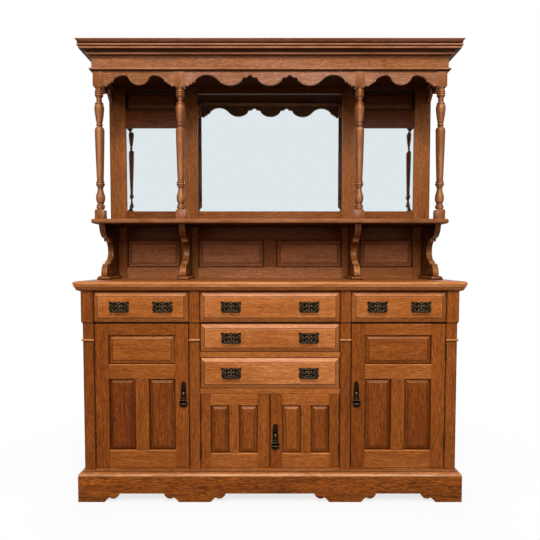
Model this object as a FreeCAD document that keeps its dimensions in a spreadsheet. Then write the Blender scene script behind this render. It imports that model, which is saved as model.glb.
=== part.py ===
"""Mirror-back sideboard: a panelled case with drawers and doors under a mirrored hutch.

Millimetres. +Z is up, the front faces -Y, and the origin is on the floor under the middle of the case.
"""
import FreeCAD, Part
import Sketcher
import os
import re

SIZES = {
    # overall
    "counter_width": 1830,
    "counter_depth": 560,
    "counter_height": 1046,
    "counter_thickness": 26,
    "counter_overhang": 30,
    "counter_nose_top": 12,
    "counter_nose_bottom": 9,
    "hutch_width": 1750,
    "hutch_depth": 343,
    # case
    "case_width": 1762,
    "centre_bay_width": 660,
    "pilaster_width": 52,
    "pilaster_depth": 40,
    "block_projection": 6,
    "block_chamfer": 12,
    "block_reach": 8,
    "pilaster_bead_drop": 84,
    "pilaster_bead_height": 11,
    "pilaster_bead_projection": 3,
    "rail_recess": 4,
    "rail_depth": 45,
    "drawer_rail_height": 24,
    "top_rail_height": 20,
    "top_rail_recess": 12,
    "bed_moulding_height": 20,
    "bed_moulding_projection": 21,
    "floor_rise": 17,
    "floor_thickness": 20,
    "partition_thickness": 20,
    "end_thickness": 22,
    "end_recess": 4,
    "end_stile_width": 72,
    "end_top_rail": 84,
    "end_middle_rail": 70,
    "end_bottom_rail": 110,
    "end_top_panel": 150,
    "back_board_thickness": 10,
    "back_board_count": 9,
    "back_board_gap": 0.8,
    "cupboard_shelf_height": 490,
    "cupboard_shelf_thickness": 18,
    "cupboard_shelf_setback": 60,
    # plinth
    "plinth_height": 120,
    "plinth_projection": 27,
    "plinth_thickness": 38,
    "plinth_moulding_height": 26,
    "plinth_arch_height": 41,
    "plinth_corner_foot": 125,
    "plinth_inner_foot": 151,
    "plinth_end_foot": 110,
    "plinth_hollow_run": 24,
    "plinth_hollow_rise": 22.5,
    "plinth_lobe_run": 34,
    "plinth_lobe_dip": 6,
    "plinth_ogee_run": 12,
    # drawers
    "top_opening_height": 134,
    "middle_opening_height": 136,
    "lower_opening_height": 150,
    "drawer_gap": 1.5,
    "drawer_seat_gap": 0.3,
    "drawer_front_thickness": 20,
    "drawer_bevel": 21.5,
    "drawer_bevel_rise": 5,
    "drawer_front_lap": 12,
    "drawer_front_head": 4,
    "drawer_side_thickness": 12,
    "drawer_bottom_thickness": 8,
    "drawer_box_headroom": 12,
    "drawer_box_length": 455,
    "runner_height": 20,
    "runner_lap": 14,
    "guide_height": 26,
    # doors
    "door_thickness": 22,
    "door_gap": 1.5,
    "hinge_gap": 3,
    "door_stile": 65,
    "door_top_rail": 53,
    "door_top_panel": 138,
    "door_middle_rail": 70,
    "door_bottom_rail": 84,
    "door_muntin": 64,
    "centre_door_hanging_stile": 46,
    "centre_door_meeting_stile": 58,
    "centre_door_top_rail": 53,
    "centre_door_bottom_rail": 69,
    "centre_door_muntin": 48,
    "groove_depth": 8,
    "tongue_thickness": 6,
    "tongue_setback": 9,
    "panel_bevel": 20,
    "panel_field_setback": 3,
    # butt hinges
    "hinge_height": 72,
    "hinge_leaf_width": 20,
    "hinge_leaf_thickness": 1.2,
    "hinge_knuckle_radius": 4.5,
    "hinge_pin_radius": 2,
    "hinge_pin_clearance": 0.05,
    "hinge_running_gap": 0.3,
    "hinge_end_distance": 94,
    "centre_hinge_end_distance": 46,
    # drawer pulls
    "pull_width": 95,
    "pull_height": 55,
    "pull_waist": 78,
    "pull_plate_thickness": 2.5,
    "pull_post_spacing": 68,
    "pull_post_radius": 5,
    "pull_post_length": 16.5,
    "pull_pivot_reach": 12,
    "pull_pivot_drop": 2,
    "bail_width": 85,
    "bail_drop": 25,
    "bail_corner": 10,
    "bail_wire_radius": 2.6,
    "bail_pin_radius": 2,
    "bail_pin_clearance": 0.05,
    "side_drawer_pull_spacing": 204,
    "centre_drawer_pull_spacing": 366,
    # door drop handles
    "drop_plate_width": 28,
    "drop_plate_height": 90,
    "drop_plate_neck": 15,
    "drop_pivot_drop": 34,
    "drop_post_radius": 6,
    "drop_arm_spacing": 19,
    "drop_width": 40,
    "drop_length": 42,
    "drop_wire_radius": 2.7,
    "door_handle_height": 528,
    "centre_handle_height": 325,
    "door_handle_inset": 25,
    # hutch
    "bracket_height": 280,
    "bracket_thickness": 29,
    "bracket_foot_width": 60,
    "bracket_foot_height": 19,
    "bracket_foot_setback": 45,
    "bracket_top_setback": 33,
    "bracket_waist_setback": 193,
    "bracket_nose_setback": 119,
    "bracket_lower_setback": 135,
    "bracket_shoulder_setback": 61,
    "bracket_nose_height": 16,
    "bracket_upper_nose": 196,
    "bracket_lower_nose": 80,
    "shelf_thickness": 24,
    "shelf_overhang": 16,
    "shelf_end_overhang": 8,
    "shelf_nose": 9,
    "frame_thickness": 30,
    "outer_stile_width": 88,
    "inner_stile_width": 98,
    "centre_mirror_width": 792,
    "low_panel_muntin": 66,
    "low_bottom_rail": 60,
    "low_panel_height": 153,
    "mirror_sill_height": 64,
    "side_mirror_height": 453,
    "small_panel_rail": 95,
    "small_panel_height": 105,
    "centre_mirror_height": 635,
    "mirror_thickness": 6,
    "mirror_bevel": 22,
    "mirror_bevel_depth": 2,
    "mirror_board_thickness": 10,
    # posts
    "post_width": 48,
    "post_inset": 5,
    "post_spacing": 402,
    "post_height": 718,
    "post_foot_block": 49,
    "post_head_block": 75,
    "post_neck_radius": 13.5,
    "post_bead_radius": 21,
    "post_bead_height": 16,
    "post_bulb_radius": 22,
    "post_bulb_height": 82,
    "post_ring_radius": 21,
    "post_ring_height": 10,
    "post_column_foot_radius": 17,
    "post_column_head_radius": 23.5,
    "post_shoulder_height": 16,
    "post_vase_radius": 22.5,
    "post_vase_foot_radius": 14.5,
    "post_vase_height": 98,
    "post_collar_height": 9,
    "post_throat_height": 34,
    # valances, frieze and cornice
    "valance_thickness": 18,
    "valance_setback": 3,
    "valance_drop": 67,
    "valance_ear": 17,
    "valance_ear_step": 33,
    "valance_ear_rise": 24,
    "valance_step": 5,
    "valance_arch_rise": 54,
    "valance_side_arch_rise": 46,
    "valance_lobe_rise": 27,
    "valance_lobe_half": 58,
    "valance_side_lobe_half": 53,
    "valance_crown_half": 40,
    "valance_crown_rise": 11,
    "valance_crown_radius": 15,
    "valance_crown_level": 41,
    "frieze_height": 122,
    "frieze_thickness": 22,
    "frieze_reach": 2,
    "frieze_bead_height": 17,
    "frieze_bead_fillet": 4,
    "cornice_height": 75,
    "cornice_rise": 16,
    "cornice_fascia": 20,
    "cornice_bead": 8,
    "cornice_cove": 14,
    "cornice_projection": 60,
    "ceiling_thickness": 12,
    "dust_board_thickness": 12,
}

PLACES = {
    "back": "counter_depth / 2",
    "block_front": "counter_overhang - back",
    "case_front": "block_front + block_projection",
    "rail_front": "case_front + rail_recess",
    "top_rail_front": "case_front + top_rail_recess",
    "pilaster_back": "case_front + pilaster_depth",
    "case_half": "case_width / 2",
    "outer_pilaster": "case_half - pilaster_width",
    "centre_half": "centre_bay_width / 2",
    "inner_pilaster": "centre_half + pilaster_width",
    "inner_pilaster_middle": "centre_half + pilaster_width / 2",
    "end_face": "case_half - end_recess",
    "end_inside": "end_face - end_thickness",
    "partition_inner": "inner_pilaster_middle - partition_thickness / 2",
    "partition_outer": "inner_pilaster_middle + partition_thickness / 2",
    "back_board_front": "back - back_board_thickness",
    "counter_under": "counter_height - counter_thickness",
    "opening_top": "counter_under - bed_moulding_height",
    "top_rail_top": "opening_top - top_opening_height",
    "top_rail_low": "top_rail_top - top_rail_height",
    "middle_low": "top_rail_low - middle_opening_height",
    "lower_top": "middle_low - drawer_rail_height",
    "lower_low": "lower_top - lower_opening_height",
    "centre_door_top": "lower_low - drawer_rail_height",
    "floor_top": "plinth_height + floor_rise + floor_thickness",
    "floor_low": "plinth_height + floor_rise",
    "plinth_half": "case_half + plinth_projection",
    "plinth_front": "case_front - plinth_projection",
    "plinth_end_length": "back - plinth_front - plinth_thickness",
    "hinge_axis_y": "case_front - hinge_knuckle_radius - hinge_running_gap",
    "hutch_half": "hutch_width / 2",
    "frame_front": "back - frame_thickness",
    "post_front": "back - hutch_depth",
    "post_back": "post_front + post_width",
    "shelf_low": "counter_height + bracket_height",
    "shelf_top": "shelf_low + shelf_thickness",
    "post_top": "shelf_top + post_height",
    "outer_post": "hutch_half - post_inset - post_width / 2",
    "inner_post": "outer_post - post_spacing",
    "frieze_top": "post_top + frieze_height",
    "frieze_front": "post_front - frieze_reach",
    "frieze_back": "frieze_front + frieze_thickness",
    "frieze_inside": "hutch_half - frieze_thickness",
    "outer_stile_edge": "hutch_half - outer_stile_width",
    "inner_stile_edge": "centre_mirror_width / 2",
    "inner_stile_far": "inner_stile_edge + inner_stile_width",
    "low_panel_low": "counter_height + low_bottom_rail",
    "low_panel_top": "low_panel_low + low_panel_height",
    "mirror_low": "shelf_top + mirror_sill_height",
    "side_mirror_top": "mirror_low + side_mirror_height",
    "small_panel_low": "side_mirror_top + small_panel_rail",
    "small_panel_top": "small_panel_low + small_panel_height",
    "centre_mirror_top": "mirror_low + centre_mirror_height",
    "cornice_low": "frieze_top + cornice_rise - cornice_height",
}

WORD = re.compile(r"[a-z][a-z_]*")
ARC_NEAR = "0.293"
ARC_FAR = "0.707"
SIDES = {"left": -1, "right": 1}
SHAPE_FAULTS = ("Invalid", "Error")

doc = FreeCAD.newDocument("sideboard")
sheet = doc.addObject("Spreadsheet::Sheet", "Sizes")
for row, (alias, size) in enumerate(SIZES.items(), start=1):
    sheet.set(f"A{row}", alias)
    sheet.set(f"B{row}", str(size))
    sheet.setAlias(f"B{row}", alias)
doc.recompute()
nodes = []


def formula(text):
    """Spell a formula out in the sheet's cells, with each place replaced by its own formula."""
    def cell(match):
        word = match.group(0)
        if word in PLACES:
            return f"({formula(PLACES[word])})"
        return f"Sizes.{word}" if word in SIZES else word
    return WORD.sub(cell, text)


def value(text):
    """The number that a formula gives now."""
    return float(sheet.evalExpression(formula(text)))


def bind(thing, setting, text):
    """Tie a property to a formula."""
    thing.setExpression(setting, formula(text))


def place(thing, x="0", y="0", z="0"):
    """Tie a piece's position to formulas."""
    for axis, text in zip("xyz", (x, y, z)):
        bind(thing, f"Placement.Base.{axis}", text)
    return thing


def turned(thing, degrees):
    """Turn a piece about the upright axis."""
    thing.Placement.Rotation = FreeCAD.Rotation(FreeCAD.Vector(0, 0, 1), degrees)
    return thing


def span(side, inner, outer):
    """The low and high end of a stretch between two distances from the middle, on one side."""
    return (inner, outer) if side > 0 else (f"-({outer})", f"-({inner})")


def board(name, x, y, z):
    """A square-edged board between a low and a high formula along each axis."""
    box = doc.addObject("Part::Box", name)
    for setting, (low, high) in zip(("Length", "Width", "Height"), (x, y, z)):
        bind(box, setting, f"({high}) - ({low})")
    return place(box, x[0], y[0], z[0])


def frustum(name, y, x_front, z_front, x_back, z_back):
    """A block whose front and back faces are rectangles of different sizes."""
    wedge = doc.addObject("Part::Wedge", name)
    limits = {"Y": y, "X": x_front, "Z": z_front, "X2": x_back, "Z2": z_back}
    for axis, (low, high) in limits.items():
        bind(wedge, f"{axis}min", low)
        bind(wedge, f"{axis}max", high)
    return wedge


def fused(name, pieces):
    """Several overlapping or touching shapes as one solid."""
    whole = doc.addObject("Part::MultiFuse", name)
    whole.Shapes = pieces
    whole.Refine = True
    return whole


def cut(name, base, tools):
    """A shape with others taken away from it."""
    rest = doc.addObject("Part::Cut", name)
    rest.Base = base
    rest.Tool = tools[0] if len(tools) == 1 else group(f"{name}_tools", tools)
    return rest


def group(name, pieces):
    """Separate solids held together as one object."""
    whole = doc.addObject("Part::Compound", name)
    whole.Links = pieces
    return whole


def copy(name, piece, x="0", y="0", z="0"):
    """A placed copy of a piece that is drawn at the origin."""
    return place(group(name, [piece]), x, y, z)


def mirrored(name, piece):
    """The right-hand twin of a left-hand piece."""
    twin = doc.addObject("Part::Mirroring", name)
    twin.Source = piece
    twin.Normal = FreeCAD.Vector(1, 0, 0)
    return twin


def node(label, pieces):
    """Hand in one or more solids under a name."""
    whole = group(label, pieces)
    whole.Label = label
    nodes.append(whole)
    return whole


def point(corner):
    """A sketch corner as a vector."""
    return FreeCAD.Vector(value(corner[0]), value(corner[1]), 0)


def sketch_on(body, role, start, steps, closed=True):
    """Draw lines to a corner, or arcs through a middle point to a corner, with every point tied."""
    sketch = body.newObject("Sketcher::SketchObject", f"{body.Name}_sketch")
    plane = next(part for part in body.Origin.OriginFeatures if part.Role == role)
    sketch.AttachmentSupport = [(plane, "")]
    sketch.MapMode = "FlatFace"
    corners = [start] + [step[-1] for step in steps]
    edges, pins, rules = [], [], []
    for begin, step in zip(corners, steps):
        if len(step) == 1:
            edge = sketch.addGeometry(Part.LineSegment(point(begin), point(step[0])))
            edges.append((edge, 1, 2))
            continue
        first, middle, last = point(begin), point(step[0]), point(step[1])
        edge = sketch.addGeometry(Part.Arc(first, middle, last))
        clockwise = (middle - first).cross(last - middle).z < 0
        edges.append((edge, 2, 1) if clockwise else (edge, 1, 2))
        dot = sketch.addGeometry(Part.Point(middle), True)
        pins.append((dot, 1, step[0]))
        rules.append(Sketcher.Constraint("PointOnObject", dot, 1, edge))
    pins += [(edge, first, corner) for (edge, first, last), corner in zip(edges, corners)]
    followers = edges[1:] + edges[:1] if closed else edges[1:]
    for (edge, _, last), (other, first, _) in zip(edges, followers):
        rules.append(Sketcher.Constraint("Coincident", edge, last, other, first))
    if not closed:
        pins.append((edges[-1][0], edges[-1][2], corners[-1]))
    ties = [(kind, edge, end, text) for edge, end, corner in pins
            for kind, text in zip(("DistanceX", "DistanceY"), corner)]
    rules += [Sketcher.Constraint(kind, -1, 1, edge, end, value(text)) for kind, edge, end, text in ties]
    numbers = sketch.addConstraint(rules)
    for number, (_, _, _, text) in zip(numbers[-len(ties):], ties):
        if WORD.search(text):
            bind(sketch, f"Constraints[{number}]", text)
    return sketch


def padded(name, role, start, steps, thickness, backward=True):
    """An outline given a thickness: backward is towards +Y from the front plane."""
    body = doc.addObject("PartDesign::Body", name)
    pad = body.newObject("PartDesign::Pad", f"{name}_pad")
    pad.Profile = sketch_on(body, role, start, steps)
    pad.Reversed = backward
    bind(pad, "Length", thickness)
    return body


def swept(name, start, steps, radius):
    """A round wire along an open path in the XZ plane that starts straight down."""
    body = doc.addObject("PartDesign::Body", name)
    path = sketch_on(body, "XZ_Plane", start, steps, closed=False)
    ring = body.newObject("Sketcher::SketchObject", f"{name}_ring")
    plane = next(part for part in body.Origin.OriginFeatures if part.Role == "XY_Plane")
    ring.AttachmentSupport = [(plane, "")]
    ring.MapMode = "FlatFace"
    bind(ring, "AttachmentOffset.Base.z", start[1])
    centre = FreeCAD.Vector(value(start[0]), 0, 0)
    circle = ring.addGeometry(Part.Circle(centre, FreeCAD.Vector(0, 0, 1), value(radius)))
    numbers = ring.addConstraint([
        Sketcher.Constraint("DistanceX", -1, 1, circle, 3, centre.x),
        Sketcher.Constraint("PointOnObject", circle, 3, -1),
        Sketcher.Constraint("Radius", circle, value(radius))])
    bind(ring, f"Constraints[{numbers[0]}]", start[0])
    bind(ring, f"Constraints[{numbers[2]}]", radius)
    pipe = body.newObject("PartDesign::AdditivePipe", f"{name}_pipe")
    pipe.Profile = ring
    pipe.Spine = (path, [f"Edge{number + 1}" for number in range(len(steps))])
    return body


def cylinder(name, radius, length, axis, x="0", y="0", z="0"):
    """A round bar from a point along X, -Y or Z."""
    bar = doc.addObject("Part::Cylinder", name)
    bind(bar, "Radius", radius)
    bind(bar, "Height", length)
    ways = {"x": FreeCAD.Vector(1, 0, 0), "front": FreeCAD.Vector(0, -1, 0), "z": FreeCAD.Vector(0, 0, 1)}
    bar.Placement.Rotation = FreeCAD.Rotation(FreeCAD.Vector(0, 0, 1), ways[axis])
    return place(bar, x, y, z)


def rounded(name, body, chosen, radius):
    """Round the edges of a body's last feature whose middles pass a test."""
    doc.recompute()
    base = body.Tip
    edges = [f"Edge{number}" for number, edge in enumerate(base.Shape.Edges, start=1)
             if chosen(edge.CenterOfMass)]
    fillet = body.newObject("PartDesign::Fillet", name)
    fillet.Base = (base, edges)
    bind(fillet, "Radius", radius)
    return body


def raised_board(name, x, z, front, edge, rear, bevel):
    """A board whose face slopes up from its edges to a flat field."""
    base = board(f"{name}_base", x, (edge, rear), z)
    field = frustum(f"{name}_slope", (front, edge),
                    (f"{x[0]} + {bevel}", f"{x[1]} - {bevel}"),
                    (f"{z[0]} + {bevel}", f"{z[1]} - {bevel}"), x, z)
    return fused(name, [base, field])


def panel(name, x, z, front):
    """A fielded panel for an opening, with a tongue all round for the grooves of its frame."""
    groove_x = (f"{x[0]} - groove_depth", f"{x[1]} + groove_depth")
    groove_z = (f"{z[0]} - groove_depth", f"{z[1]} + groove_depth")
    edge = f"{front} + tongue_setback"
    tongue = board(f"{name}_tongue", groove_x, (edge, f"{edge} + tongue_thickness"), groove_z)
    field = frustum(f"{name}_field", (f"{front} + panel_field_setback", edge),
                    (f"{x[0]} + panel_bevel", f"{x[1]} - panel_bevel"),
                    (f"{z[0]} + panel_bevel", f"{z[1]} - panel_bevel"), x, z)
    return fused(name, [tongue, field]), tongue


def mirror_glass(name, x, z, front):
    """A mirror plate with a bevelled rim, larger than its opening by the depth of the groove."""
    groove_x = (f"{x[0]} - groove_depth", f"{x[1]} + groove_depth")
    groove_z = (f"{z[0]} - groove_depth", f"{z[1]} + groove_depth")
    edge = f"{front} + tongue_setback"
    plate = board(f"{name}_plate", groove_x, (edge, f"{edge} + mirror_thickness"), groove_z)
    field = frustum(f"{name}_bevel", (f"{edge} - mirror_bevel_depth", edge),
                    (f"{x[0]} + mirror_bevel", f"{x[1]} - mirror_bevel"),
                    (f"{z[0]} + mirror_bevel", f"{z[1]} - mirror_bevel"), x, z)
    return fused(name, [plate, field]), plate


def meets(first, second):
    """Whether two boards' boxes share any room."""
    return first.Shape.BoundBox.intersect(second.Shape.BoundBox)


def framed(name, members, fillings, front, thickness):
    """Stiles and rails grooved for their panels; rails end in stub tenons that fill the grooves.

    A member is (name, x, z, tongue axis or None); a filling is (name, x, z, maker).
    """
    made = [maker(f"{name}_{part}", x, z, front) for part, x, z, maker in fillings]
    inserts = [tongue for _, tongue in made]
    depth = (f"{front} + tongue_setback", f"{front} + tongue_setback + tongue_thickness")
    blanks = []
    for part, x, z, tongue_axis in members:
        blank = board(f"{name}_{part}_blank", x, (front, f"{front} + {thickness}"), z)
        tenon = None
        if tongue_axis:
            long_x = (f"{x[0]} - groove_depth", f"{x[1]} + groove_depth") if tongue_axis == "x" else x
            long_z = (f"{z[0]} - groove_depth", f"{z[1]} + groove_depth") if tongue_axis == "z" else z
            tenon = board(f"{name}_{part}_tenon", long_x, depth, long_z)
            inserts.append(tenon)
            blank = fused(f"{name}_{part}_tenoned", [blank, tenon])
        blanks.append((part, blank, tenon))
    doc.recompute()
    solids = []
    for part, blank, tenon in blanks:
        tools = [insert for insert in inserts if insert is not tenon and meets(blank, insert)]
        solids.append(cut(f"{name}_{part}", blank, tools) if tools else blank)
    return solids, [filling for filling, _ in made]


def moulding_steps(steps):
    """An outline that climbs a moulding: out and up by each step, then back down the wall.

    A step is (kind, out, up). An arc either rises before it runs out, or runs out before it rises.
    """
    out, rise = "0", "0"
    drawn = []
    for kind, run, climb in steps:
        end = (f"{out} + {run}", f"{rise} + {climb}")
        shares = {"rise": (ARC_NEAR, ARC_FAR), "run": (ARC_FAR, ARC_NEAR)}.get(kind)
        if kind == "bead":
            drawn.append(((f"-({out} + ({climb}) / 2)", f"{rise} + ({climb}) / 2"), (f"-({end[0]})", end[1])))
        elif shares:
            middle = (f"-({out} + ({run}) * {shares[0]})", f"{rise} + ({climb}) * {shares[1]}")
            drawn.append((middle, (f"-({end[0]})", end[1])))
        else:
            drawn.append(((f"-({end[0]})", end[1]),))
        out, rise = end
    return drawn + [(("0", rise),), (("0", "0"),)]


def moulding(name, steps, reach, height, half_run, wall, rear, foot):
    """A moulding along the front and both ends, in three lengths mitred at the corners."""
    def length(part, run, mitre_low, mitre_high):
        strip = padded(f"{name}_{part}_strip", "YZ_Plane", ("0", "0"), moulding_steps(steps),
                       f"{run} + 2 * {reach}", backward=False)
        place(strip, f"-({reach})")
        limits = frustum(f"{name}_{part}_mitre", (f"-({reach})", "0"),
                         (f"-({reach})" if mitre_low else "0", f"{run} + {reach}" if mitre_high else run),
                         ("0", height), ("0", run), ("0", height))
        piece = doc.addObject("Part::Common", f"{name}_{part}")
        piece.Base = strip
        piece.Tool = limits
        return piece
    front = copy(f"{name}_front", length("front_length", f"2 * ({half_run})", True, True),
                 f"-({half_run})", wall, foot)
    end_run = f"({rear}) - ({wall})"
    left = turned(copy(f"{name}_left", length("end_length", end_run, False, True),
                       f"-({half_run})", rear, foot), -90)
    return [front, left, mirrored(f"{name}_right", left)]


def plinth_board(name, half, arches):
    """A plinth board with feet between shaped cut-outs, drawn about its middle."""
    level = "plinth_arch_height"
    steps = [((f"-({half})", "plinth_height"),), ((half, "plinth_height"),), ((half, "0"),)]
    for low, high in reversed(arches):
        ends = []
        for edge, way in ((high, "-"), (low, "+")):
            hollow = (f"{edge} {way} plinth_hollow_run", "plinth_hollow_rise")
            lobe = (f"{hollow[0]} {way} plinth_lobe_run", "plinth_hollow_rise")
            ends.append([
                (edge, "0"),
                ((f"{edge} {way} plinth_hollow_run * 0.6", "plinth_hollow_rise * 0.7"), hollow),
                ((f"{hollow[0]} {way} plinth_lobe_run / 2", "plinth_hollow_rise - plinth_lobe_dip"), lobe),
                ((f"{lobe[0]} {way} plinth_ogee_run * 0.7", f"(plinth_hollow_rise + {level}) / 2"),
                 (f"{lobe[0]} {way} plinth_ogee_run", level))])
        rising, falling = ends
        steps += [(rising[0],)] + rising[1:] + [(falling[-1][1],)]
        backs = [falling[0]] + [step[1] for step in falling[1:]]
        steps += [(falling[place_in][0], backs[place_in - 1]) for place_in in (3, 2, 1)]
    steps.append(((f"-({half})", "0"),))
    return padded(name, "XZ_Plane", (f"-({half})", "0"), steps, "plinth_thickness")


def make_plinth():
    """Front, end and rear boards under the case, and the moulding on top of them."""
    corner = "plinth_half - plinth_corner_foot"
    inner_far = "inner_pilaster_middle + plinth_inner_foot / 2"
    inner_near = "inner_pilaster_middle - plinth_inner_foot / 2"
    arches = [(f"-({corner})", f"-({inner_far})"), (f"-({inner_near})", inner_near), (inner_far, corner)]
    front = place(plinth_board("plinth_front_board", "plinth_half", arches), y="plinth_front")
    end_half = "plinth_end_length / 2"
    end_arch = f"{end_half} - plinth_end_foot"
    end_board = plinth_board("plinth_end_board", end_half, [(f"-({end_arch})", end_arch)])
    left = turned(copy("plinth_left_end", end_board, "-(plinth_half)", "back - plinth_end_length / 2"), -90)
    inside = "plinth_half - plinth_thickness"
    rear = board("plinth_rear_board", span(1, f"-({inside})", inside), ("back - plinth_thickness", "back"),
                 ("0", "plinth_height"))
    node("plinth", [front, left, mirrored("plinth_right_end", left), rear])
    profile = [("line", "plinth_projection", "0"), ("line", "0", "plinth_moulding_height * 0.12"),
               ("rise", "plinth_projection * -0.8", "plinth_moulding_height * 0.78"),
               ("line", "0", "plinth_moulding_height * 0.1")]
    node("plinth_moulding", moulding("plinth_moulding_run", profile, "plinth_projection",
                                     "plinth_moulding_height", "case_half", "case_front", "back",
                                     "plinth_height"))


def make_pilaster(name, reach):
    """A left-hand pilaster about its own middle: shaft, upper block with a chamfer, small bead."""
    half = "pilaster_width / 2"
    low = "top_rail_top - block_reach"
    height = ("plinth_height", "counter_under")
    bead_top = f"{low} - pilaster_bead_drop"
    bead_side = f"pilaster_bead_projection * {1 if reach != '0' else 0}"
    shaft = board(f"{name}_shaft", (f"-{half}", half), ("case_front", "pilaster_back"), height)
    block = board(f"{name}_block", (f"-{half} - {reach}", half), ("block_front", "pilaster_back"),
                  (low, "counter_under"))
    bead = board(f"{name}_bead", (f"-{half} - {bead_side}", half),
                 ("case_front - pilaster_bead_projection", "pilaster_back"),
                 (f"{bead_top} - pilaster_bead_height", bead_top))
    chamfer = frustum(f"{name}_chamfer", (f"{low} - block_chamfer", low), (f"-{half}", half),
                      ("-(pilaster_back)", "-(case_front)"), (f"-{half} - {reach}", half),
                      ("-(pilaster_back)", "-(block_front)"))
    chamfer.Placement.Rotation = FreeCAD.Rotation(FreeCAD.Vector(1, 0, 0), 90)
    return fused(name, [shaft, block, bead, chamfer])


def make_case():
    """Pilasters, panelled ends, partitions, floor, shelves, rails and back boards."""
    outer = copy("outer_pilaster_left", make_pilaster("outer_pilaster_piece", "block_projection"),
                 "-(case_half - pilaster_width / 2)")
    inner = copy("inner_pilaster_left", make_pilaster("inner_pilaster_piece", "0"),
                 "-(inner_pilaster_middle)")
    node("pilasters", [outer, inner, mirrored("inner_pilaster_right", inner),
                       mirrored("outer_pilaster_right", outer)])
    run = "back - pilaster_back"
    top, low = "counter_under", "plinth_height"
    stile = "end_stile_width"
    inside = (stile, f"{run} - {stile}")
    panel_top = f"{top} - end_top_rail"
    rail_top = f"{panel_top} - end_top_panel"
    rail_low = f"{rail_top} - end_middle_rail"
    panel_low = f"{low} + end_bottom_rail"
    members = [("rear_stile", ("0", stile), (low, top), None),
               ("front_stile", (f"{run} - {stile}", run), (low, top), None),
               ("top_rail", inside, (panel_top, top), "x"),
               ("middle_rail", inside, (rail_low, rail_top), "x"),
               ("bottom_rail", inside, (low, panel_low), "x")]
    fillings = [("top_panel", inside, (rail_top, panel_top), panel),
                ("bottom_panel", inside, (panel_low, rail_low), panel)]
    solids, panels = framed("end", members, fillings, "0", "end_thickness")
    left = turned(copy("left_end", group("end_frame", solids + panels), "-(end_face)", "back"), -90)
    node("case_ends", [left, mirrored("right_end", left)])

    depth = ("pilaster_back", "back_board_front")
    pieces = [board("case_floor", ("-(end_inside)", "end_inside"), depth, ("floor_low", "floor_top"))]
    shelf_depth = ("pilaster_back + cupboard_shelf_setback", "back_board_front")
    shelf_rise = ("cupboard_shelf_height", "cupboard_shelf_height + cupboard_shelf_thickness")
    for name, side in SIDES.items():
        pieces.append(board(f"{name}_partition", span(side, "partition_inner", "partition_outer"), depth,
                            ("floor_top", "counter_under")))
        pieces.append(board(f"{name}_cupboard_shelf", span(side, "partition_outer", "end_inside"),
                            shelf_depth, shelf_rise))
    node("inner_case", pieces)

    bays = {"left": span(-1, "inner_pilaster", "outer_pilaster"),
            "centre": ("-(centre_half)", "centre_half"),
            "right": span(1, "inner_pilaster", "outer_pilaster")}
    rails = []
    rail_room = ("rail_front", "rail_front + rail_depth")
    for name, bay in bays.items():
        rails.append(board(f"{name}_top_rail", bay, rail_room, ("opening_top", "counter_under")))
        rails.append(board(f"{name}_drawer_rail", bay, ("top_rail_front", "top_rail_front + rail_depth"),
                           ("top_rail_low", "top_rail_top")))
        rails.append(board(f"{name}_sill", bay, ("rail_front", "pilaster_back"), ("floor_low", "floor_top")))
    rails.append(board("middle_rail", bays["centre"], rail_room, ("lower_top", "middle_low")))
    rails.append(board("door_rail", bays["centre"], rail_room, ("centre_door_top", "lower_low")))
    node("front_rails", rails)

    side_bay = ("partition_outer", "inner_pilaster", "outer_pilaster", "end_inside")
    centre_bay = ("-(partition_inner)", "-(centre_half)", "centre_half", "partition_inner")
    left_bay = [f"-({edge})" for edge in reversed(side_bay)]
    seats = [("left", left_bay, "top_rail_top", "top_rail_front"),
             ("right", side_bay, "top_rail_top", "top_rail_front"),
             ("centre", centre_bay, "top_rail_top", "top_rail_front"),
             ("middle", centre_bay, "middle_low", "rail_front"),
             ("lower", centre_bay, "lower_low", "rail_front")]
    runners = []
    for name, (wall_low, low_face, high_face, wall_high), level, face in seats:
        room = (f"{face} + rail_depth", "back_board_front")
        guide_rise = (level, f"{level} + guide_height")
        runner_rise = (f"{level} - runner_height", level)
        runners += [
            board(f"{name}_runner_low", (wall_low, f"{low_face} + runner_lap"), room, runner_rise),
            board(f"{name}_runner_high", (f"{high_face} - runner_lap", wall_high), room, runner_rise),
            board(f"{name}_guide_low", (wall_low, low_face), room, guide_rise),
            board(f"{name}_guide_high", (high_face, wall_high), room, guide_rise)]
    node("drawer_runners", runners)

    count = int(value("back_board_count"))
    pitch = "(2 * end_inside / back_board_count)"
    backs = [board(f"back_board_{number + 1}",
                   (f"-(end_inside) + {pitch} * {number}",
                    f"-(end_inside) + {pitch} * {number + 1} - back_board_gap"),
                   ("back_board_front", "back"), ("plinth_height", "counter_under"))
             for number in range(count)]
    backing = ("back - mirror_board_thickness", "back")
    backs.append(board("centre_mirror_board", ("-(inner_stile_edge)", "inner_stile_edge"), backing,
                       ("mirror_low", "centre_mirror_top")))
    backs += [board(f"{name}_mirror_board", span(side, "inner_stile_far", "outer_stile_edge"), backing,
                    ("mirror_low", "side_mirror_top")) for name, side in SIDES.items()]
    node("back_boards", backs)


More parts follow.
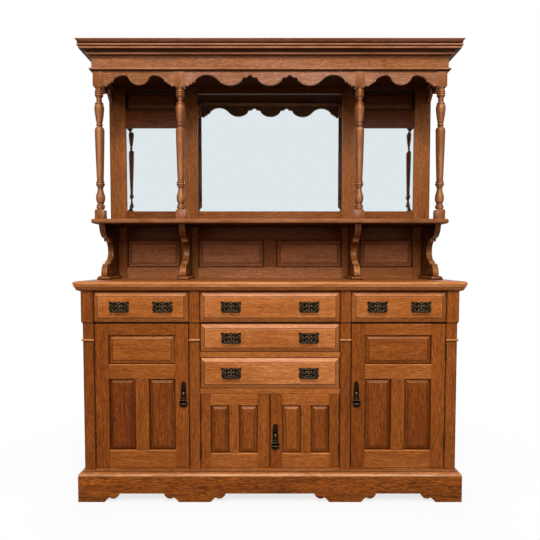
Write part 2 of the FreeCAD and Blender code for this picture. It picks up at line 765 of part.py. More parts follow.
def make_counter():
    """The countertop with a rounded nosing on its front and ends, and the moulding beneath it."""
    half = "counter_width / 2"
    slab = padded("countertop", "XY_Plane", (f"-{half}", "-(back)"),
                  [((half, "-(back)"),), ((half, "back"),), ((f"-{half}", "back"),),
                   ((f"-{half}", "-(back)"),)],
                  "counter_thickness", backward=False)
    rear, thick = value("back"), value("counter_thickness")
    rounded("countertop_top_nose", slab,
            lambda middle: middle.z > thick * 0.99 and middle.y < rear * 0.99, "counter_nose_top")
    rounded("countertop_under_nose", slab,
            lambda middle: middle.z < thick * 0.01 and middle.y < rear * 0.99, "counter_nose_bottom")
    node("counter", [place(slab, z="counter_under")])
    profile = [("line", "bed_moulding_projection * 0.2", "0"),
               ("rise", "bed_moulding_projection * 0.7", "bed_moulding_height * 0.8"),
               ("line", "bed_moulding_projection * 0.1", "0"), ("line", "0", "bed_moulding_height * 0.2")]
    node("counter_moulding", moulding("bed_moulding_run", profile, "bed_moulding_projection",
                                      "bed_moulding_height", "case_half + block_projection",
                                      "block_front", "back", "opening_top"))


def make_pull_pieces():
    """A drawer pull about its middle, facing the front: plate with two bored posts, and its bail."""
    half, waist = "pull_width / 2", "pull_waist / 2"
    top, bottom = "pull_height * 0.54", "pull_height * -0.46"
    corner, shoulder = f"{top} - pull_height * 0.04", f"{top} - pull_height * 0.1"
    steps = [((f"-({half}) * 0.55", shoulder), (f"-({half}) * 0.3", top)),
             (("0", f"{top} + pull_height * 0.04"), (f"({half}) * 0.3", top)),
             ((f"({half}) * 0.55", shoulder), (half, corner)),
             ((f"({half}) * 0.93", "pull_height * 0.2"), (waist, "0")),
             ((half, "pull_height * -0.18"), (f"({half}) * 0.78", "pull_height * -0.4")),
             (("0", bottom), (f"({half}) * -0.78", "pull_height * -0.4")),
             ((f"-({half})", "pull_height * -0.18"), (f"-({waist})", "0")),
             ((f"({half}) * -0.93", "pull_height * 0.2"), (f"-({half})", corner))]
    plate = padded("pull_plate", "XZ_Plane", (f"-({half})", corner), steps, "pull_plate_thickness",
                   backward=False)
    pivot, reach = "-(pull_pivot_drop)", "-(pull_pivot_reach)"
    posts = [cylinder(f"pull_{name}_post", "pull_post_radius", "pull_post_length", "front",
                      f"{side} * pull_post_spacing / 2", z=pivot) for name, side in SIDES.items()]
    bore = cylinder("pull_bore", "bail_pin_radius + bail_pin_clearance", "pull_width", "x",
                    "pull_width / -2", reach, pivot)
    plate = cut("pull_plate_bored", fused("pull_plate_posts", [plate] + posts), [bore])

    side, drop, bend = "bail_width / 2", "-(bail_drop)", "bail_corner"
    steps = [((f"-({side})", f"{drop} + {bend}"),),
             ((f"-({side}) + {bend} * {ARC_NEAR}", f"{drop} + {bend} * {ARC_NEAR}"),
              (f"-({side}) + {bend}", drop)),
             ((f"{side} - {bend}", drop),),
             ((f"{side} - {bend} * {ARC_NEAR}", f"{drop} + {bend} * {ARC_NEAR}"), (side, f"{drop} + {bend}")),
             ((side, "bail_pin_radius"),)]
    wire = swept("bail_wire", (f"-({side})", "bail_pin_radius"), steps, "bail_wire_radius")
    stub = "bail_width / 2 - pull_post_spacing / 2 + pull_post_radius * 0.8"
    pins = [cylinder("bail_left_pin", "bail_pin_radius", stub, "x", f"-({side})"),
            cylinder("bail_right_pin", "bail_pin_radius", stub, "x", f"{side} - ({stub})")]
    bail = fused("bail_piece", [wire] + pins)
    return plate, place(group("bail_at_pivot", [bail]), y=reach, z=pivot)


def make_drawers(pull_plate, bail):
    """Five drawers: a bevelled front, a box behind it, two pull plates and their bails."""
    lap = ("top_rail_front - drawer_seat_gap", "top_rail_top - drawer_front_lap",
           "opening_top - drawer_front_head")
    side_bay = ("inner_pilaster", "outer_pilaster")
    drawers = {
        "left_drawer": (span(-1, *side_bay), "top_rail_top", "opening_top", lap, "side_drawer_pull_spacing"),
        "centre_drawer": (("-(centre_half)", "centre_half"), "top_rail_top", "opening_top", lap,
                          "centre_drawer_pull_spacing"),
        "right_drawer": (span(1, *side_bay), "top_rail_top", "opening_top", lap, "side_drawer_pull_spacing"),
        "middle_drawer": (("-(centre_half)", "centre_half"), "middle_low", "top_rail_low", None,
                          "centre_drawer_pull_spacing"),
        "lower_drawer": (("-(centre_half)", "centre_half"), "lower_low", "lower_top", None,
                         "centre_drawer_pull_spacing")}
    for name, (bay, low, high, lapped, spacing) in drawers.items():
        x = (f"{bay[0]} + drawer_gap", f"{bay[1]} - drawer_gap")
        rear, front_low, front_high = lapped or (
            "rail_front - drawer_bevel_rise + drawer_front_thickness",
            f"{low} + drawer_gap", f"{high} - drawer_gap")
        face = f"{rear} - drawer_front_thickness"
        front = raised_board(f"{name}_front_board", x, (front_low, front_high), face,
                             f"{face} + drawer_bevel_rise", rear, "drawer_bevel")
        node(f"{name}_front", [front])
        box_low = f"{low} + drawer_seat_gap"
        rise = (box_low, f"{high} - drawer_box_headroom")
        tail = f"{rear} + drawer_box_length"
        wall = "drawer_side_thickness"
        inside = (f"{x[0]} + {wall}", f"{x[1]} - {wall}")
        node(f"{name}_box", [
            board(f"{name}_low_side", (x[0], inside[0]), (rear, tail), rise),
            board(f"{name}_high_side", (inside[1], x[1]), (rear, tail), rise),
            board(f"{name}_tail", inside, (f"{tail} - {wall}", tail), rise),
            board(f"{name}_bottom", inside, (rear, f"{tail} - {wall}"),
                  (box_low, f"{box_low} + drawer_bottom_thickness"))])
        middle_x = f"(({bay[0]}) + ({bay[1]})) / 2"
        middle_z = f"(({front_low}) + ({front_high})) / 2"
        seats = {side: f"{middle_x} + {way} * {spacing} / 2" for side, way in SIDES.items()}
        node(f"{name}_plates", [copy(f"{name}_{side}_plate", pull_plate, at, face, middle_z)
                                for side, at in seats.items()])
        for side, at in seats.items():
            node(f"{name}_{side}_bail", [copy(f"{name}_{side}_bail_piece", bail, at, face, middle_z)])


def make_drop_pieces():
    """A door handle about its plate's middle: pear-shaped plate with a bored post, and its drop."""
    half, tall, neck = "drop_plate_width / 2", "drop_plate_height / 2", "drop_plate_neck / 2"
    right = [((half, f"{tall} * 0.5"), (neck, f"{tall} * 0.2")),
             ((f"{neck} * 0.9", "0"), (neck, f"{tall} * -0.2")),
             ((half, f"{tall} * -0.6"), (f"{neck} * 0.8", f"-({tall})"))]
    tip = ("0", tall)
    back_up = [((f"-({half})", f"{tall} * -0.6"), (f"-({neck})", f"{tall} * -0.2")),
               ((f"{neck} * -0.9", "0"), (f"-({neck})", f"{tall} * 0.2")),
               ((f"-({half})", f"{tall} * 0.5"), tip)]
    plate = padded("drop_plate", "XZ_Plane", tip, right + [((f"{neck} * -0.8", f"-({tall})"),)] + back_up,
                   "pull_plate_thickness", backward=False)
    pivot, reach = "-(drop_pivot_drop)", "-(pull_pivot_reach)"
    post = cylinder("drop_post", "drop_post_radius", "pull_post_length", "front", z=pivot)
    bore = cylinder("drop_bore", "bail_pin_radius + bail_pin_clearance", "drop_width", "x",
                    "drop_width / -2", reach, pivot)
    plate = cut("drop_plate_bored", fused("drop_plate_post", [plate, post]), [bore])
    arm, wide, drop = "drop_arm_spacing / 2", "drop_width / 2 - drop_wire_radius", "-(drop_length)"
    hip = "drop_length * -0.5"
    steps = [((f"-({arm})", "-(bail_pin_radius)"),),
             ((f"-({wide}) * 0.8", f"{hip} * 0.6"), (f"-({wide})", f"{hip} * 1.2")),
             (("0", drop), (wide, f"{hip} * 1.2")),
             ((f"({wide}) * 0.8", f"{hip} * 0.6"), (arm, "-(bail_pin_radius)")),
             ((arm, "bail_pin_radius"),)]
    wire = swept("drop_wire", (f"-({arm})", "bail_pin_radius"), steps, "drop_wire_radius")
    pin = cylinder("drop_pin", "bail_pin_radius", "drop_arm_spacing", "x", f"-({arm})")
    drop_piece = fused("drop_piece", [wire, pin])
    return plate, place(group("drop_at_pivot", [drop_piece]), y=reach, z=pivot)


def make_hinge_leaves():
    """A left-hand butt hinge about its pin: the case leaf with the pin, and the door leaf."""
    height, knuckle, leaf = "hinge_height", "hinge_knuckle_radius", "hinge_leaf_thickness"
    length = f"{height} / 5"
    swing = f"{knuckle} + hinge_running_gap"
    depth = ("0", f"{knuckle} + hinge_running_gap + hinge_leaf_width")
    gap = "hinge_gap / 2"
    rims = {"case": (0, 2, 4), "door": (1, 3)}
    plates = {"case": (f"-({gap})", f"-({gap}) + {leaf}"), "door": (f"{gap} - {leaf}", gap)}
    leaves = {}
    for name, own in rims.items():
        plate = board(f"hinge_{name}_plate", plates[name], depth, ("0", height))
        barrel = cylinder(f"hinge_{name}_barrel", knuckle, height, "z")
        others = [number for number in range(5) if number not in own]
        notches = [cylinder(f"hinge_{name}_notch_{number}", swing,
                            f"{length} + 2 * hinge_running_gap / 3", "z",
                            z=f"{length} * {number} - hinge_running_gap / 3") for number in others]
        if name == "door":
            notches.append(cylinder("hinge_pin_bore", "hinge_pin_radius + hinge_pin_clearance", height, "z"))
        leaves[name] = cut(f"hinge_{name}_leaf", fused(f"hinge_{name}_blank", [plate, barrel]), notches)
    pin = cylinder("hinge_pin", "hinge_pin_radius", height, "z")
    return fused("hinge_case_leaf_pinned", [leaves["case"], pin]), leaves["door"]


def make_doors(plate, drop):
    """Two tall panelled doors and a centre pair, with their hinges and drop handles."""
    case_leaf, door_leaf = make_hinge_leaves()
    front, thick = "case_front", "door_thickness"
    hang = "-(outer_pilaster) + hinge_gap"
    free = "-(inner_pilaster) - door_gap"
    low, high = "floor_top + door_gap", "top_rail_low - door_gap"
    inside = (f"{hang} + door_stile", f"{free} - door_stile")
    middle = f"(({inside[0]}) + ({inside[1]})) / 2"
    muntin = (f"{middle} - door_muntin / 2", f"{middle} + door_muntin / 2")
    top = f"{high} - door_top_rail"
    rail_top = f"{top} - door_top_panel"
    rail_low = f"{rail_top} - door_middle_rail"
    foot = f"{low} + door_bottom_rail"
    members = [("hanging_stile", (hang, inside[0]), (low, high), None),
               ("free_stile", (inside[1], free), (low, high), None),
               ("top_rail", inside, (top, high), "x"),
               ("middle_rail", inside, (rail_low, rail_top), "x"),
               ("bottom_rail", inside, (low, foot), "x"),
               ("muntin", muntin, (foot, rail_low), "z")]
    fillings = [("top_panel", inside, (rail_top, top), panel),
                ("hanging_panel", (inside[0], muntin[0]), (foot, rail_low), panel),
                ("free_panel", (muntin[1], inside[1]), (foot, rail_low), panel)]
    solids, panels = framed("side_door", members, fillings, front, thick)
    left = node("left_door", solids + panels)
    nodes.append(mirrored("right_door", left))

    hang_c = "-(centre_half) + hinge_gap"
    free_c = "-(door_gap) / 2"
    high_c = "centre_door_top - door_gap"
    inside = (f"{hang_c} + centre_door_hanging_stile", f"{free_c} - centre_door_meeting_stile")
    middle = f"(({inside[0]}) + ({inside[1]})) / 2"
    muntin = (f"{middle} - centre_door_muntin / 2", f"{middle} + centre_door_muntin / 2")
    top, foot = f"{high_c} - centre_door_top_rail", f"{low} + centre_door_bottom_rail"
    members = [("hanging_stile", (hang_c, inside[0]), (low, high_c), None),
               ("meeting_stile", (inside[1], free_c), (low, high_c), None),
               ("top_rail", inside, (top, high_c), "x"),
               ("bottom_rail", inside, (low, foot), "x"),
               ("muntin", muntin, (foot, top), "z")]
    fillings = [("hanging_panel", (inside[0], muntin[0]), (foot, top), panel),
                ("meeting_panel", (muntin[1], inside[1]), (foot, top), panel)]
    solids, panels = framed("centre_door", members, fillings, front, thick)
    centre_left = node("centre_left_door", solids + panels)
    nodes.append(mirrored("centre_right_door", centre_left))

    case_leaves = []
    hung = {"left_door": ("-(outer_pilaster)", low, high, "hinge_end_distance"),
            "centre_left_door": ("-(centre_half)", low, high_c, "centre_hinge_end_distance")}
    twins = {"left_door": "right_door", "centre_left_door": "centre_right_door"}
    for door, (post, door_low, door_high, margin) in hung.items():
        levels = {"lower": f"{door_low} + {margin}", "upper": f"{door_high} - {margin} - hinge_height"}
        axis = f"{post} + hinge_gap / 2"
        leaves = node(f"{door}_hinge_leaves", [
            copy(f"{door}_{level}_leaf", door_leaf, axis, "hinge_axis_y", at)
            for level, at in levels.items()])
        nodes.append(mirrored(f"{twins[door]}_hinge_leaves", leaves))
        fixed = group(f"{door}_case_leaves", [
            copy(f"{door}_{level}_case_leaf", case_leaf, axis, "hinge_axis_y", at)
            for level, at in levels.items()])
        case_leaves += [fixed, mirrored(f"{twins[door]}_case_leaves", fixed)]
    node("hinge_case_leaves", case_leaves)

    handles = {"left_door": (f"{free} - door_handle_inset", "door_handle_height"),
               "right_door": (f"-({free}) + door_handle_inset", "door_handle_height"),
               "centre_right_door": (f"-({free_c}) + door_handle_inset", "centre_handle_height")}
    for door, (across, height) in handles.items():
        node(f"{door}_handle_plate", [copy(f"{door}_plate", plate, across, front, height)])
        node(f"{door}_drop", [copy(f"{door}_drop_piece", drop, across, front, height)])


def make_back_frame():
    """The hutch's back: stiles and rails from counter to cornice, panels and mirrors."""
    tall = ("counter_height", "frieze_top")
    centre = ("-(inner_stile_edge)", "inner_stile_edge")
    members = [("centre_bottom_rail", centre, ("counter_height", "low_panel_low"), "x"),
               ("centre_shelf_rail", centre, ("low_panel_top", "mirror_low"), "x"),
               ("centre_head_rail", centre, ("centre_mirror_top", "frieze_top"), "x"),
               ("low_muntin", ("low_panel_muntin / -2", "low_panel_muntin / 2"),
                ("low_panel_low", "low_panel_top"), "z")]
    low_rise = ("low_panel_low", "low_panel_top")
    fillings, mirrors = [], [("centre_mirror", centre, ("mirror_low", "centre_mirror_top"), mirror_glass)]
    for name, side in SIDES.items():
        bay = span(side, "inner_stile_far", "outer_stile_edge")
        members += [
            (f"{name}_outer_stile", span(side, "outer_stile_edge", "hutch_half"), tall, None),
            (f"{name}_inner_stile", span(side, "inner_stile_edge", "inner_stile_far"), tall, None),
            (f"{name}_bottom_rail", bay, ("counter_height", "low_panel_low"), "x"),
            (f"{name}_shelf_rail", bay, ("low_panel_top", "mirror_low"), "x"),
            (f"{name}_cross_rail", bay, ("side_mirror_top", "small_panel_low"), "x"),
            (f"{name}_head_rail", bay, ("small_panel_top", "frieze_top"), "x")]
        fillings += [(f"{name}_low_panel", bay, low_rise, panel),
                     (f"{name}_centre_low_panel", span(side, "low_panel_muntin / 2", "inner_stile_edge"),
                      low_rise, panel),
                     (f"{name}_small_panel", bay, ("small_panel_low", "small_panel_top"), panel)]
        mirrors.append((f"{name}_mirror", bay, ("mirror_low", "side_mirror_top"), mirror_glass))
    solids, made = framed("back", members, fillings + mirrors, "frame_front", "frame_thickness")
    node("back_frame", solids)
    node("back_panels", made[:len(fillings)])
    node("mirrors", made[len(fillings):])


def make_brackets_and_shelf():
    """Four scroll brackets on foot blocks, and the shelf that they carry."""
    deep = "(hutch_depth - frame_thickness)"
    nose_up, nose_low = "bracket_upper_nose", "bracket_lower_nose"

    def ahead(setback):
        return f"{setback} - {deep}"
    top = ahead("bracket_top_setback")
    nose, waist = ahead("bracket_nose_setback"), ahead("bracket_waist_setback")
    lip = ahead("bracket_nose_setback + bracket_nose_height / 2")
    low = ahead("bracket_lower_setback")
    low_lip = ahead("bracket_lower_setback + bracket_nose_height / 2")
    steps = [((top, "bracket_height"),),
             ((ahead("bracket_shoulder_setback - 6"), f"{nose_up} + bracket_nose_height + 22"),
              (nose, f"{nose_up} + bracket_nose_height")),
             ((nose, nose_up),), ((lip, nose_up),),
             ((waist, f"({nose_up} + {nose_low} + bracket_nose_height) / 2"),
              (low_lip, f"{nose_low} + bracket_nose_height")),
             ((low, f"{nose_low} + bracket_nose_height"),), ((low, nose_low),),
             ((ahead("bracket_shoulder_setback + bracket_nose_height"),
               f"{nose_low} - bracket_nose_height * 0.75"),
              (ahead("bracket_foot_setback + 15"), "bracket_foot_height * 2")),
             ((ahead("bracket_foot_setback + 15"), "bracket_foot_height"),),
             (("0", "bracket_foot_height"),), (("0", "bracket_height"),)]
    scroll = padded("bracket_scroll", "YZ_Plane", ("0", "bracket_height"), steps, "bracket_thickness",
                    backward=False)
    place(scroll, "bracket_thickness / -2")
    foot = board("bracket_foot", ("bracket_foot_width / -2", "bracket_foot_width / 2"),
                 (ahead("bracket_foot_setback"), "0"), ("0", "bracket_foot_height"))
    bracket = group("bracket_piece", [scroll, foot])
    seats = [f"{side} * ({at})" for side in SIDES.values() for at in ("outer_post", "inner_post")]
    node("brackets", [copy(f"bracket_{number}", bracket, at, "frame_front", "counter_height")
                      for number, at in enumerate(seats, start=1)])

    half, front = "hutch_half + shelf_end_overhang", "post_front - shelf_overhang"
    slab = padded("shelf_board", "XY_Plane", (f"-({half})", front),
                  [((half, front),), ((half, "frame_front"),), ((f"-({half})", "frame_front"),),
                   ((f"-({half})", front),)], "shelf_thickness", backward=False)
    rear, thick = value("frame_front"), value("shelf_thickness")
    rounded("shelf_nose_edges", slab,
            lambda middle: abs(middle.z - thick / 2) > thick * 0.49 and middle.y < rear * 0.99, "shelf_nose")
    node("shelf", [place(slab, z="shelf_low")])


def turned_steps():
    """The outline of a turned post from its foot block up to its head block, as radius and height."""
    steps = []
    level = ["post_foot_block"]

    def go(radius, rise, *middle):
        high = f"{level[0]} + {rise}"
        if middle:
            steps.append(((middle[0], f"{level[0]} + ({rise}) * {middle[1]}"), (radius, high)))
        else:
            steps.append(((radius, high),))
        level[0] = high

    neck, bead, ring = "post_neck_radius", "post_bead_radius", "post_ring_radius"
    quirk = f"({bead}) * 0.8"
    steps.append(((quirk, level[0]),))
    go(quirk, "post_bead_height", bead, 0.5)
    go(neck, "post_collar_height", f"{neck} + 1.5", 0.35)
    go(neck, "post_bulb_height", "post_bulb_radius", 0.38)
    for _ in range(2):
        go(quirk, "post_ring_height", ring, 0.5)
    go("post_column_foot_radius", "post_collar_height * 0.5")
    shaft = ("post_height - post_foot_block - post_head_block - post_bead_height - post_bulb_height"
             " - post_collar_height * 3.5 - post_ring_height * 6 - post_shoulder_height"
             " - post_vase_height - post_throat_height")
    go("post_column_head_radius", shaft)
    go(neck, "post_shoulder_height", "post_column_head_radius * 0.92", 0.55)
    go(neck, "post_collar_height")
    go("post_vase_foot_radius", "post_ring_height", f"{neck} + 4", 0.5)
    go("post_vase_radius * 0.8", "post_vase_height", "post_vase_radius", 0.8)
    go(quirk, "post_collar_height", ring, 0.5)
    go(quirk, "post_throat_height", neck, 0.5)
    for _ in range(3):
        go(quirk, "post_ring_height", ring, 0.5)
    return steps + [(("0", level[0]),), (("0", "post_foot_block"),)]


def make_posts():
    """Four turned posts, square at head and foot, between the shelf and the frieze."""
    body = doc.addObject("PartDesign::Body", "post_turning")
    spin = body.newObject("PartDesign::Revolution", "post_spin")
    sketch = sketch_on(body, "XZ_Plane", ("0", "post_foot_block"), turned_steps())
    spin.Profile = sketch
    spin.ReferenceAxis = (sketch, ["V_Axis"])
    half = ("post_width / -2", "post_width / 2")
    foot = board("post_foot", half, half, ("0", "post_foot_block"))
    head = board("post_head", half, half, ("post_height - post_head_block", "post_height"))
    post = fused("post_piece", [body, foot, head])
    seats = [f"{side} * ({at})" for side in SIDES.values() for at in ("outer_post", "inner_post")]
    node("posts", [copy(f"post_{number}", post, at, "post_front + post_width / 2", "shelf_top")
                   for number, at in enumerate(seats, start=1)])


def valance_half(half, arch, lobe_half, crowns):
    """The lower edge of half a valance, from its ear at the post to its middle lobe."""
    drop, shelf_line = "-(valance_drop)", "-(valance_drop) + valance_ear_rise"
    ear = f"{half} - valance_ear"
    step = f"{ear} - valance_ear_step"
    spring = f"{shelf_line} + valance_step"
    lobe_line = "-(valance_drop) + valance_lobe_rise"
    peak = f"-(valance_drop) + {arch}"
    path = [((half, drop),), ((ear, drop),),
            ((f"{ear} - valance_ear_step * {ARC_NEAR}", f"{drop} + valance_ear_rise * {ARC_FAR}"),
             (step, shelf_line)),
            ((step, spring),)]
    if not crowns:
        foot = (lobe_half, lobe_line)
        return path + [((f"({step} + {lobe_half}) / 2", peak), foot)]
    notch = f"{lobe_half} + valance_crown_half"
    crown = "-(valance_drop) + valance_crown_level"
    outer = f"{notch} + valance_crown_half"
    far = f"{outer} + 2 * {lobe_half}"
    path.append(((f"({step} + {far}) / 2", peak), (far, lobe_line)))
    path.append(((f"{outer} + {lobe_half}", "-(valance_drop) + 2"), (outer, lobe_line)))
    path.append(((f"{outer} - valance_crown_half * 0.1", f"({lobe_line}) * 0.3 + ({crown}) * 0.7"),
                 (f"{outer} - valance_crown_half * 0.4", crown)))
    path.append(((f"{notch} + valance_crown_radius", crown),))
    path.append(((notch, f"{crown} + valance_crown_rise"), (f"{notch} - valance_crown_radius", crown)))
    path.append(((f"{lobe_half} + valance_crown_half * 0.4", crown),))
    path.append(((f"{lobe_half} + valance_crown_half * 0.1", f"({lobe_line}) * 0.3 + ({crown}) * 0.7"),
                 (lobe_half, lobe_line)))
    return path


def flipped(corner):
    """A corner on the other side of the middle."""
    return f"-({corner[0]})", corner[1]


def make_valance(name, half, arch, lobe_half, crowns=False):
    """A shaped valance about its middle, hanging from its straight top edge."""
    path = valance_half(half, arch, lobe_half, crowns)
    corners = [(half, "0")] + [step[-1] for step in path]
    back = []
    for begin, step in zip(reversed(corners[:-1]), reversed(path)):
        back.append(tuple(flipped(corner) for corner in step[:-1]) + (flipped(begin),))
    lobe = [(("0", "-(valance_drop) + 2"), flipped(corners[-1]))]
    return padded(name, "XZ_Plane", (half, "0"), path + lobe + back + [((half, "0"),)], "valance_thickness")


def make_canopy():
    """Valances, frieze with its bead, cornice, ceiling and dust board."""
    face = "post_front + valance_setback"
    half_post = "post_width / 2"
    centre = place(make_valance("centre_valance", f"inner_post - {half_post}", "valance_arch_rise",
                                "valance_lobe_half", crowns=True), y=face, z="post_top")
    side_half = "(post_spacing - post_width) / 2"
    side = place(make_valance("left_valance", side_half, "valance_side_arch_rise", "valance_side_lobe_half"),
                 "-((outer_post + inner_post) / 2)", face, "post_top")
    end_half = "(frame_front - post_back) / 2"
    apron = make_valance("end_valance", end_half, "valance_side_arch_rise", "valance_side_lobe_half * 0.5")
    end = turned(copy("left_end_valance", apron, "-(frieze_inside + valance_thickness)",
                      "(frame_front + post_back) / 2", "post_top"), -90)
    node("valances", [centre, side, mirrored("right_valance", side), end, mirrored("right_end_valance", end)])

    height = ("post_top", "frieze_top")
    frieze = [board("frieze_front_board", ("-(hutch_half)", "hutch_half"),
                    ("frieze_front", "frieze_back"), height)]
    frieze += [board(f"frieze_{name}_board", span(side, "frieze_inside", "hutch_half"),
                     ("frieze_back", "frame_front"), height) for name, side in SIDES.items()]
    bead = [("line", "frieze_bead_fillet", "0"), ("bead", "0", "frieze_bead_height")]
    bead_reach = "frieze_bead_fillet + frieze_bead_height / 2"
    node("frieze", frieze + moulding("frieze_bead_run", bead, bead_reach, "frieze_bead_height", "hutch_half",
                                     "frieze_front", "back", "post_top"))

    cove, round_, lip = "cornice_cove", "cornice_bead", "cornice_projection * 0.04"
    spare = f"(cornice_projection - {lip} * 10.5 - {cove} * 0.6)"
    left_over = f"cornice_height - cornice_fascia - {cove} * 0.9 - {round_} * 4 - {lip}"
    profile = [("line", lip, "0"), ("rise", f"{cove} * 0.6", f"{cove} * 0.9"), ("line", lip, "0"),
               ("bead", f"{lip} * 2", f"{round_} * 1.3"), ("line", lip, "0"),
               ("rise", f"{spare} * 2 / 3", left_over), ("line", lip, "0"),
               ("bead", lip, f"{round_} * 1.3"), ("line", lip, "0"),
               ("bead", f"{lip} * 2", f"{round_} * 1.4"), ("line", f"{lip} / 2", "0"),
               ("line", f"{spare} / 3", "cornice_fascia"), ("line", "0", lip)]
    node("cornice", moulding("cornice_run", profile, "cornice_projection", "cornice_height", "hutch_half",
                             "frieze_front", "back", "cornice_low"))

    ceiling_low = "post_top + frieze_bead_height"
    node("canopy_boards", [
        board("ceiling", ("-(frieze_inside)", "frieze_inside"), ("frieze_back", "frame_front"),
              (ceiling_low, f"{ceiling_low} + ceiling_thickness")),
        board("dust_board", ("-(hutch_half)", "hutch_half"), ("frieze_front", "back"),
              ("frieze_top", "frieze_top + dust_board_thickness"))])


def check_and_write():
    """Stop on any failed object or bad shape, then write one file for each named piece."""
    doc.recompute()
    failed = [thing.Name for thing in doc.Objects if any(fault in thing.State for fault in SHAPE_FAULTS)]
    if failed:
        raise RuntimeError(f"failed objects: {failed}")
    for thing in nodes:
        if thing.Shape.isNull() or not thing.Shape.isValid():
            raise RuntimeError(f"bad shape: {thing.Label}")
    os.makedirs("parts", exist_ok=True)
    for thing in nodes:
        thing.Shape.exportStep(f"parts/{thing.Label}.step")
        print(thing.Label, len(thing.Shape.Solids), round(thing.Shape.Volume))


make_plinth()
make_case()
make_counter()
make_drawers(*make_pull_pieces())
make_doors(*make_drop_pieces())
make_back_frame()
make_brackets_and_shelf()
make_posts()
make_canopy()
check_and_write()
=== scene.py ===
"""Mirror-back sideboard in oak: boards, mouldings, turnings, bronze pulls and bevelled mirrors.

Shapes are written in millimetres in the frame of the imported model: +Z up, front faces -Y.
"""
import logging
import math
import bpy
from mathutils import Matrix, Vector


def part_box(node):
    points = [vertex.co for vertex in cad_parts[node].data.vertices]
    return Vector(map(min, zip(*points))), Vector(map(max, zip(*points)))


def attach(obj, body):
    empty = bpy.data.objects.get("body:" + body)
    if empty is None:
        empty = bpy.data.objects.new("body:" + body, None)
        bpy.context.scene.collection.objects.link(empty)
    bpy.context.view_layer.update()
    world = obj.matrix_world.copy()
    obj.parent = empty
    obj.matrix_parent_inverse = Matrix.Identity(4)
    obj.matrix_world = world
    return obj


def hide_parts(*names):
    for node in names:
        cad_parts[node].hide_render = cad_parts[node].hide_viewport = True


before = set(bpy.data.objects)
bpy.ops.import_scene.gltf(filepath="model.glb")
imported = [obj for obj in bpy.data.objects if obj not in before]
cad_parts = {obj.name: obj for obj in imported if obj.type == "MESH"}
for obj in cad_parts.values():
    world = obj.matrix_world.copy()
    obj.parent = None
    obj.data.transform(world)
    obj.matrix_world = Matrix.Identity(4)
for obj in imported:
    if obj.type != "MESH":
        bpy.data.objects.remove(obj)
import zlib
from dataclasses import dataclass
from enum import Enum
from functools import cached_property
from typing import Callable, ClassVar, Sequence

import bpy
import numpy as np

Array = np.ndarray
Corner = tuple[float, float]
Pair = tuple[float, float]
Rows = Sequence[tuple[float, ...]]
Steps = Sequence[tuple[Corner, ...]]
Field = Callable[[Array, Array], Array]
Triple = tuple[float, float, float]
Colour = tuple[float, float, float, float]
Socket = bpy.types.NodeSocket
MM = 0.001
SHADE_ANGLE = math.radians(32)
EASED = 0.29  # how far in the middle of an eased edge lies, as a share of its radius
GRAIN_SPREAD = 9.0  # metres over which each board's own grain is picked
TONE_SPREAD = 0.045  # how much the tones of like boards differ
SWELL = 1.8  # millimetres of swelling that give a turning's beads a full painted highlight and its necks full painted shade
HIGHLIGHT_STRIP = 9  # the power that narrows the painted highlight on a turning's front to a strip
log = logging.getLogger("sideboard")


class Grain(Enum):
    """The axis that a board's grain runs along, then the two across it."""

    X = (0, 1, 2)
    Y = (1, 0, 2)
    Z = (2, 0, 1)


class Plane(Enum):
    """Which axes a flat drawing's two directions and its depth become."""

    FRONT = (0, 2, 1)
    SIDE = (1, 2, 0)
    TOP = (0, 1, 2)


@dataclass
class Surface:
    """A closed surface.

    Args:
        points: corner positions, one row each.
        faces: corner numbers of each face.
        wear_and_shade: 1 on rubbed edges and painted highlights, -1 in dirty grooves and painted
            shade, 0 between, one for each corner.
    """

    points: Array
    faces: list[list[int]]
    wear_and_shade: Array

    def moved(self, x: float = 0.0, y: float = 0.0, z: float = 0.0) -> "Surface":
        """The same surface shifted along each axis."""
        return Surface(self.points + np.array([x, y, z]), self.faces, self.wear_and_shade)

    def turned_round(self) -> "Surface":
        """The same surface with its depth reversed."""
        return Surface(self.points * np.array([1, -1, 1]), self.faces, self.wear_and_shade)

    def turned_out(self, side: int, reach: float) -> "Surface":
        """A front-facing surface turned to face an end: depth becomes the way out, width Y.

        Args:
            side: -1 for the left end, 1 for the right.
            reach: how far the drawing's zero depth lies from the middle.

        Returns:
            The turned surface.
        """
        across, depth, up = self.points.T
        points = np.column_stack([side * (reach - depth), across, up])
        return Surface(points, self.faces, self.wear_and_shade)

    def volume(self) -> float:
        """Signed volume: the sum over fans of triangles of a . (b x c) / 6.

        Returns:
            The volume, above zero where the faces look outwards.
        """
        fans = [(face[0], b, c) for face in self.faces for b, c in zip(face[1:], face[2:])]
        a, b, c = (self.points[list(column)] for column in zip(*fans))
        return float(np.einsum("ij,ij->i", a, np.cross(b, c)).sum() / 6)


def placed(flat: Array, depth: Array, plane: Plane) -> Array:
    """Put drawing points and depths on their axes.

    Args:
        flat: drawing points, two columns.
        depth: one depth for each point.
        plane: which axes the drawing lies on.

    Returns:
        Points with three columns.
    """
    points = np.empty((len(flat), 3))
    points[:, plane.value[0]] = flat[:, 0]
    points[:, plane.value[1]] = flat[:, 1]
    points[:, plane.value[2]] = depth
    return points


def loops(rings: int, size: int, around: bool = False) -> list[list[int]]:
    """Four-cornered faces between neighbouring rings of a closed grid.

    Args:
        rings: how many rings there are.
        size: how many corners a ring has.
        around: whether the last ring joins the first.

    Returns:
        The faces.
    """
    count = rings if around else rings - 1
    row, column = np.meshgrid(np.arange(count), np.arange(size), indexing="ij")
    after, beside = (row + 1) % rings, (column + 1) % size
    corners = [row * size + column, row * size + beside,
               after * size + beside, after * size + column]
    return np.stack(corners, -1).reshape(-1, 4).tolist()


def capped(rings: int, size: int) -> list[list[int]]:
    """Faces of a tube of rings of a size, with its first and last ring filled."""
    last = (rings - 1) * size
    return loops(rings, size) + [list(range(size))[::-1], list(range(last, last + size))]


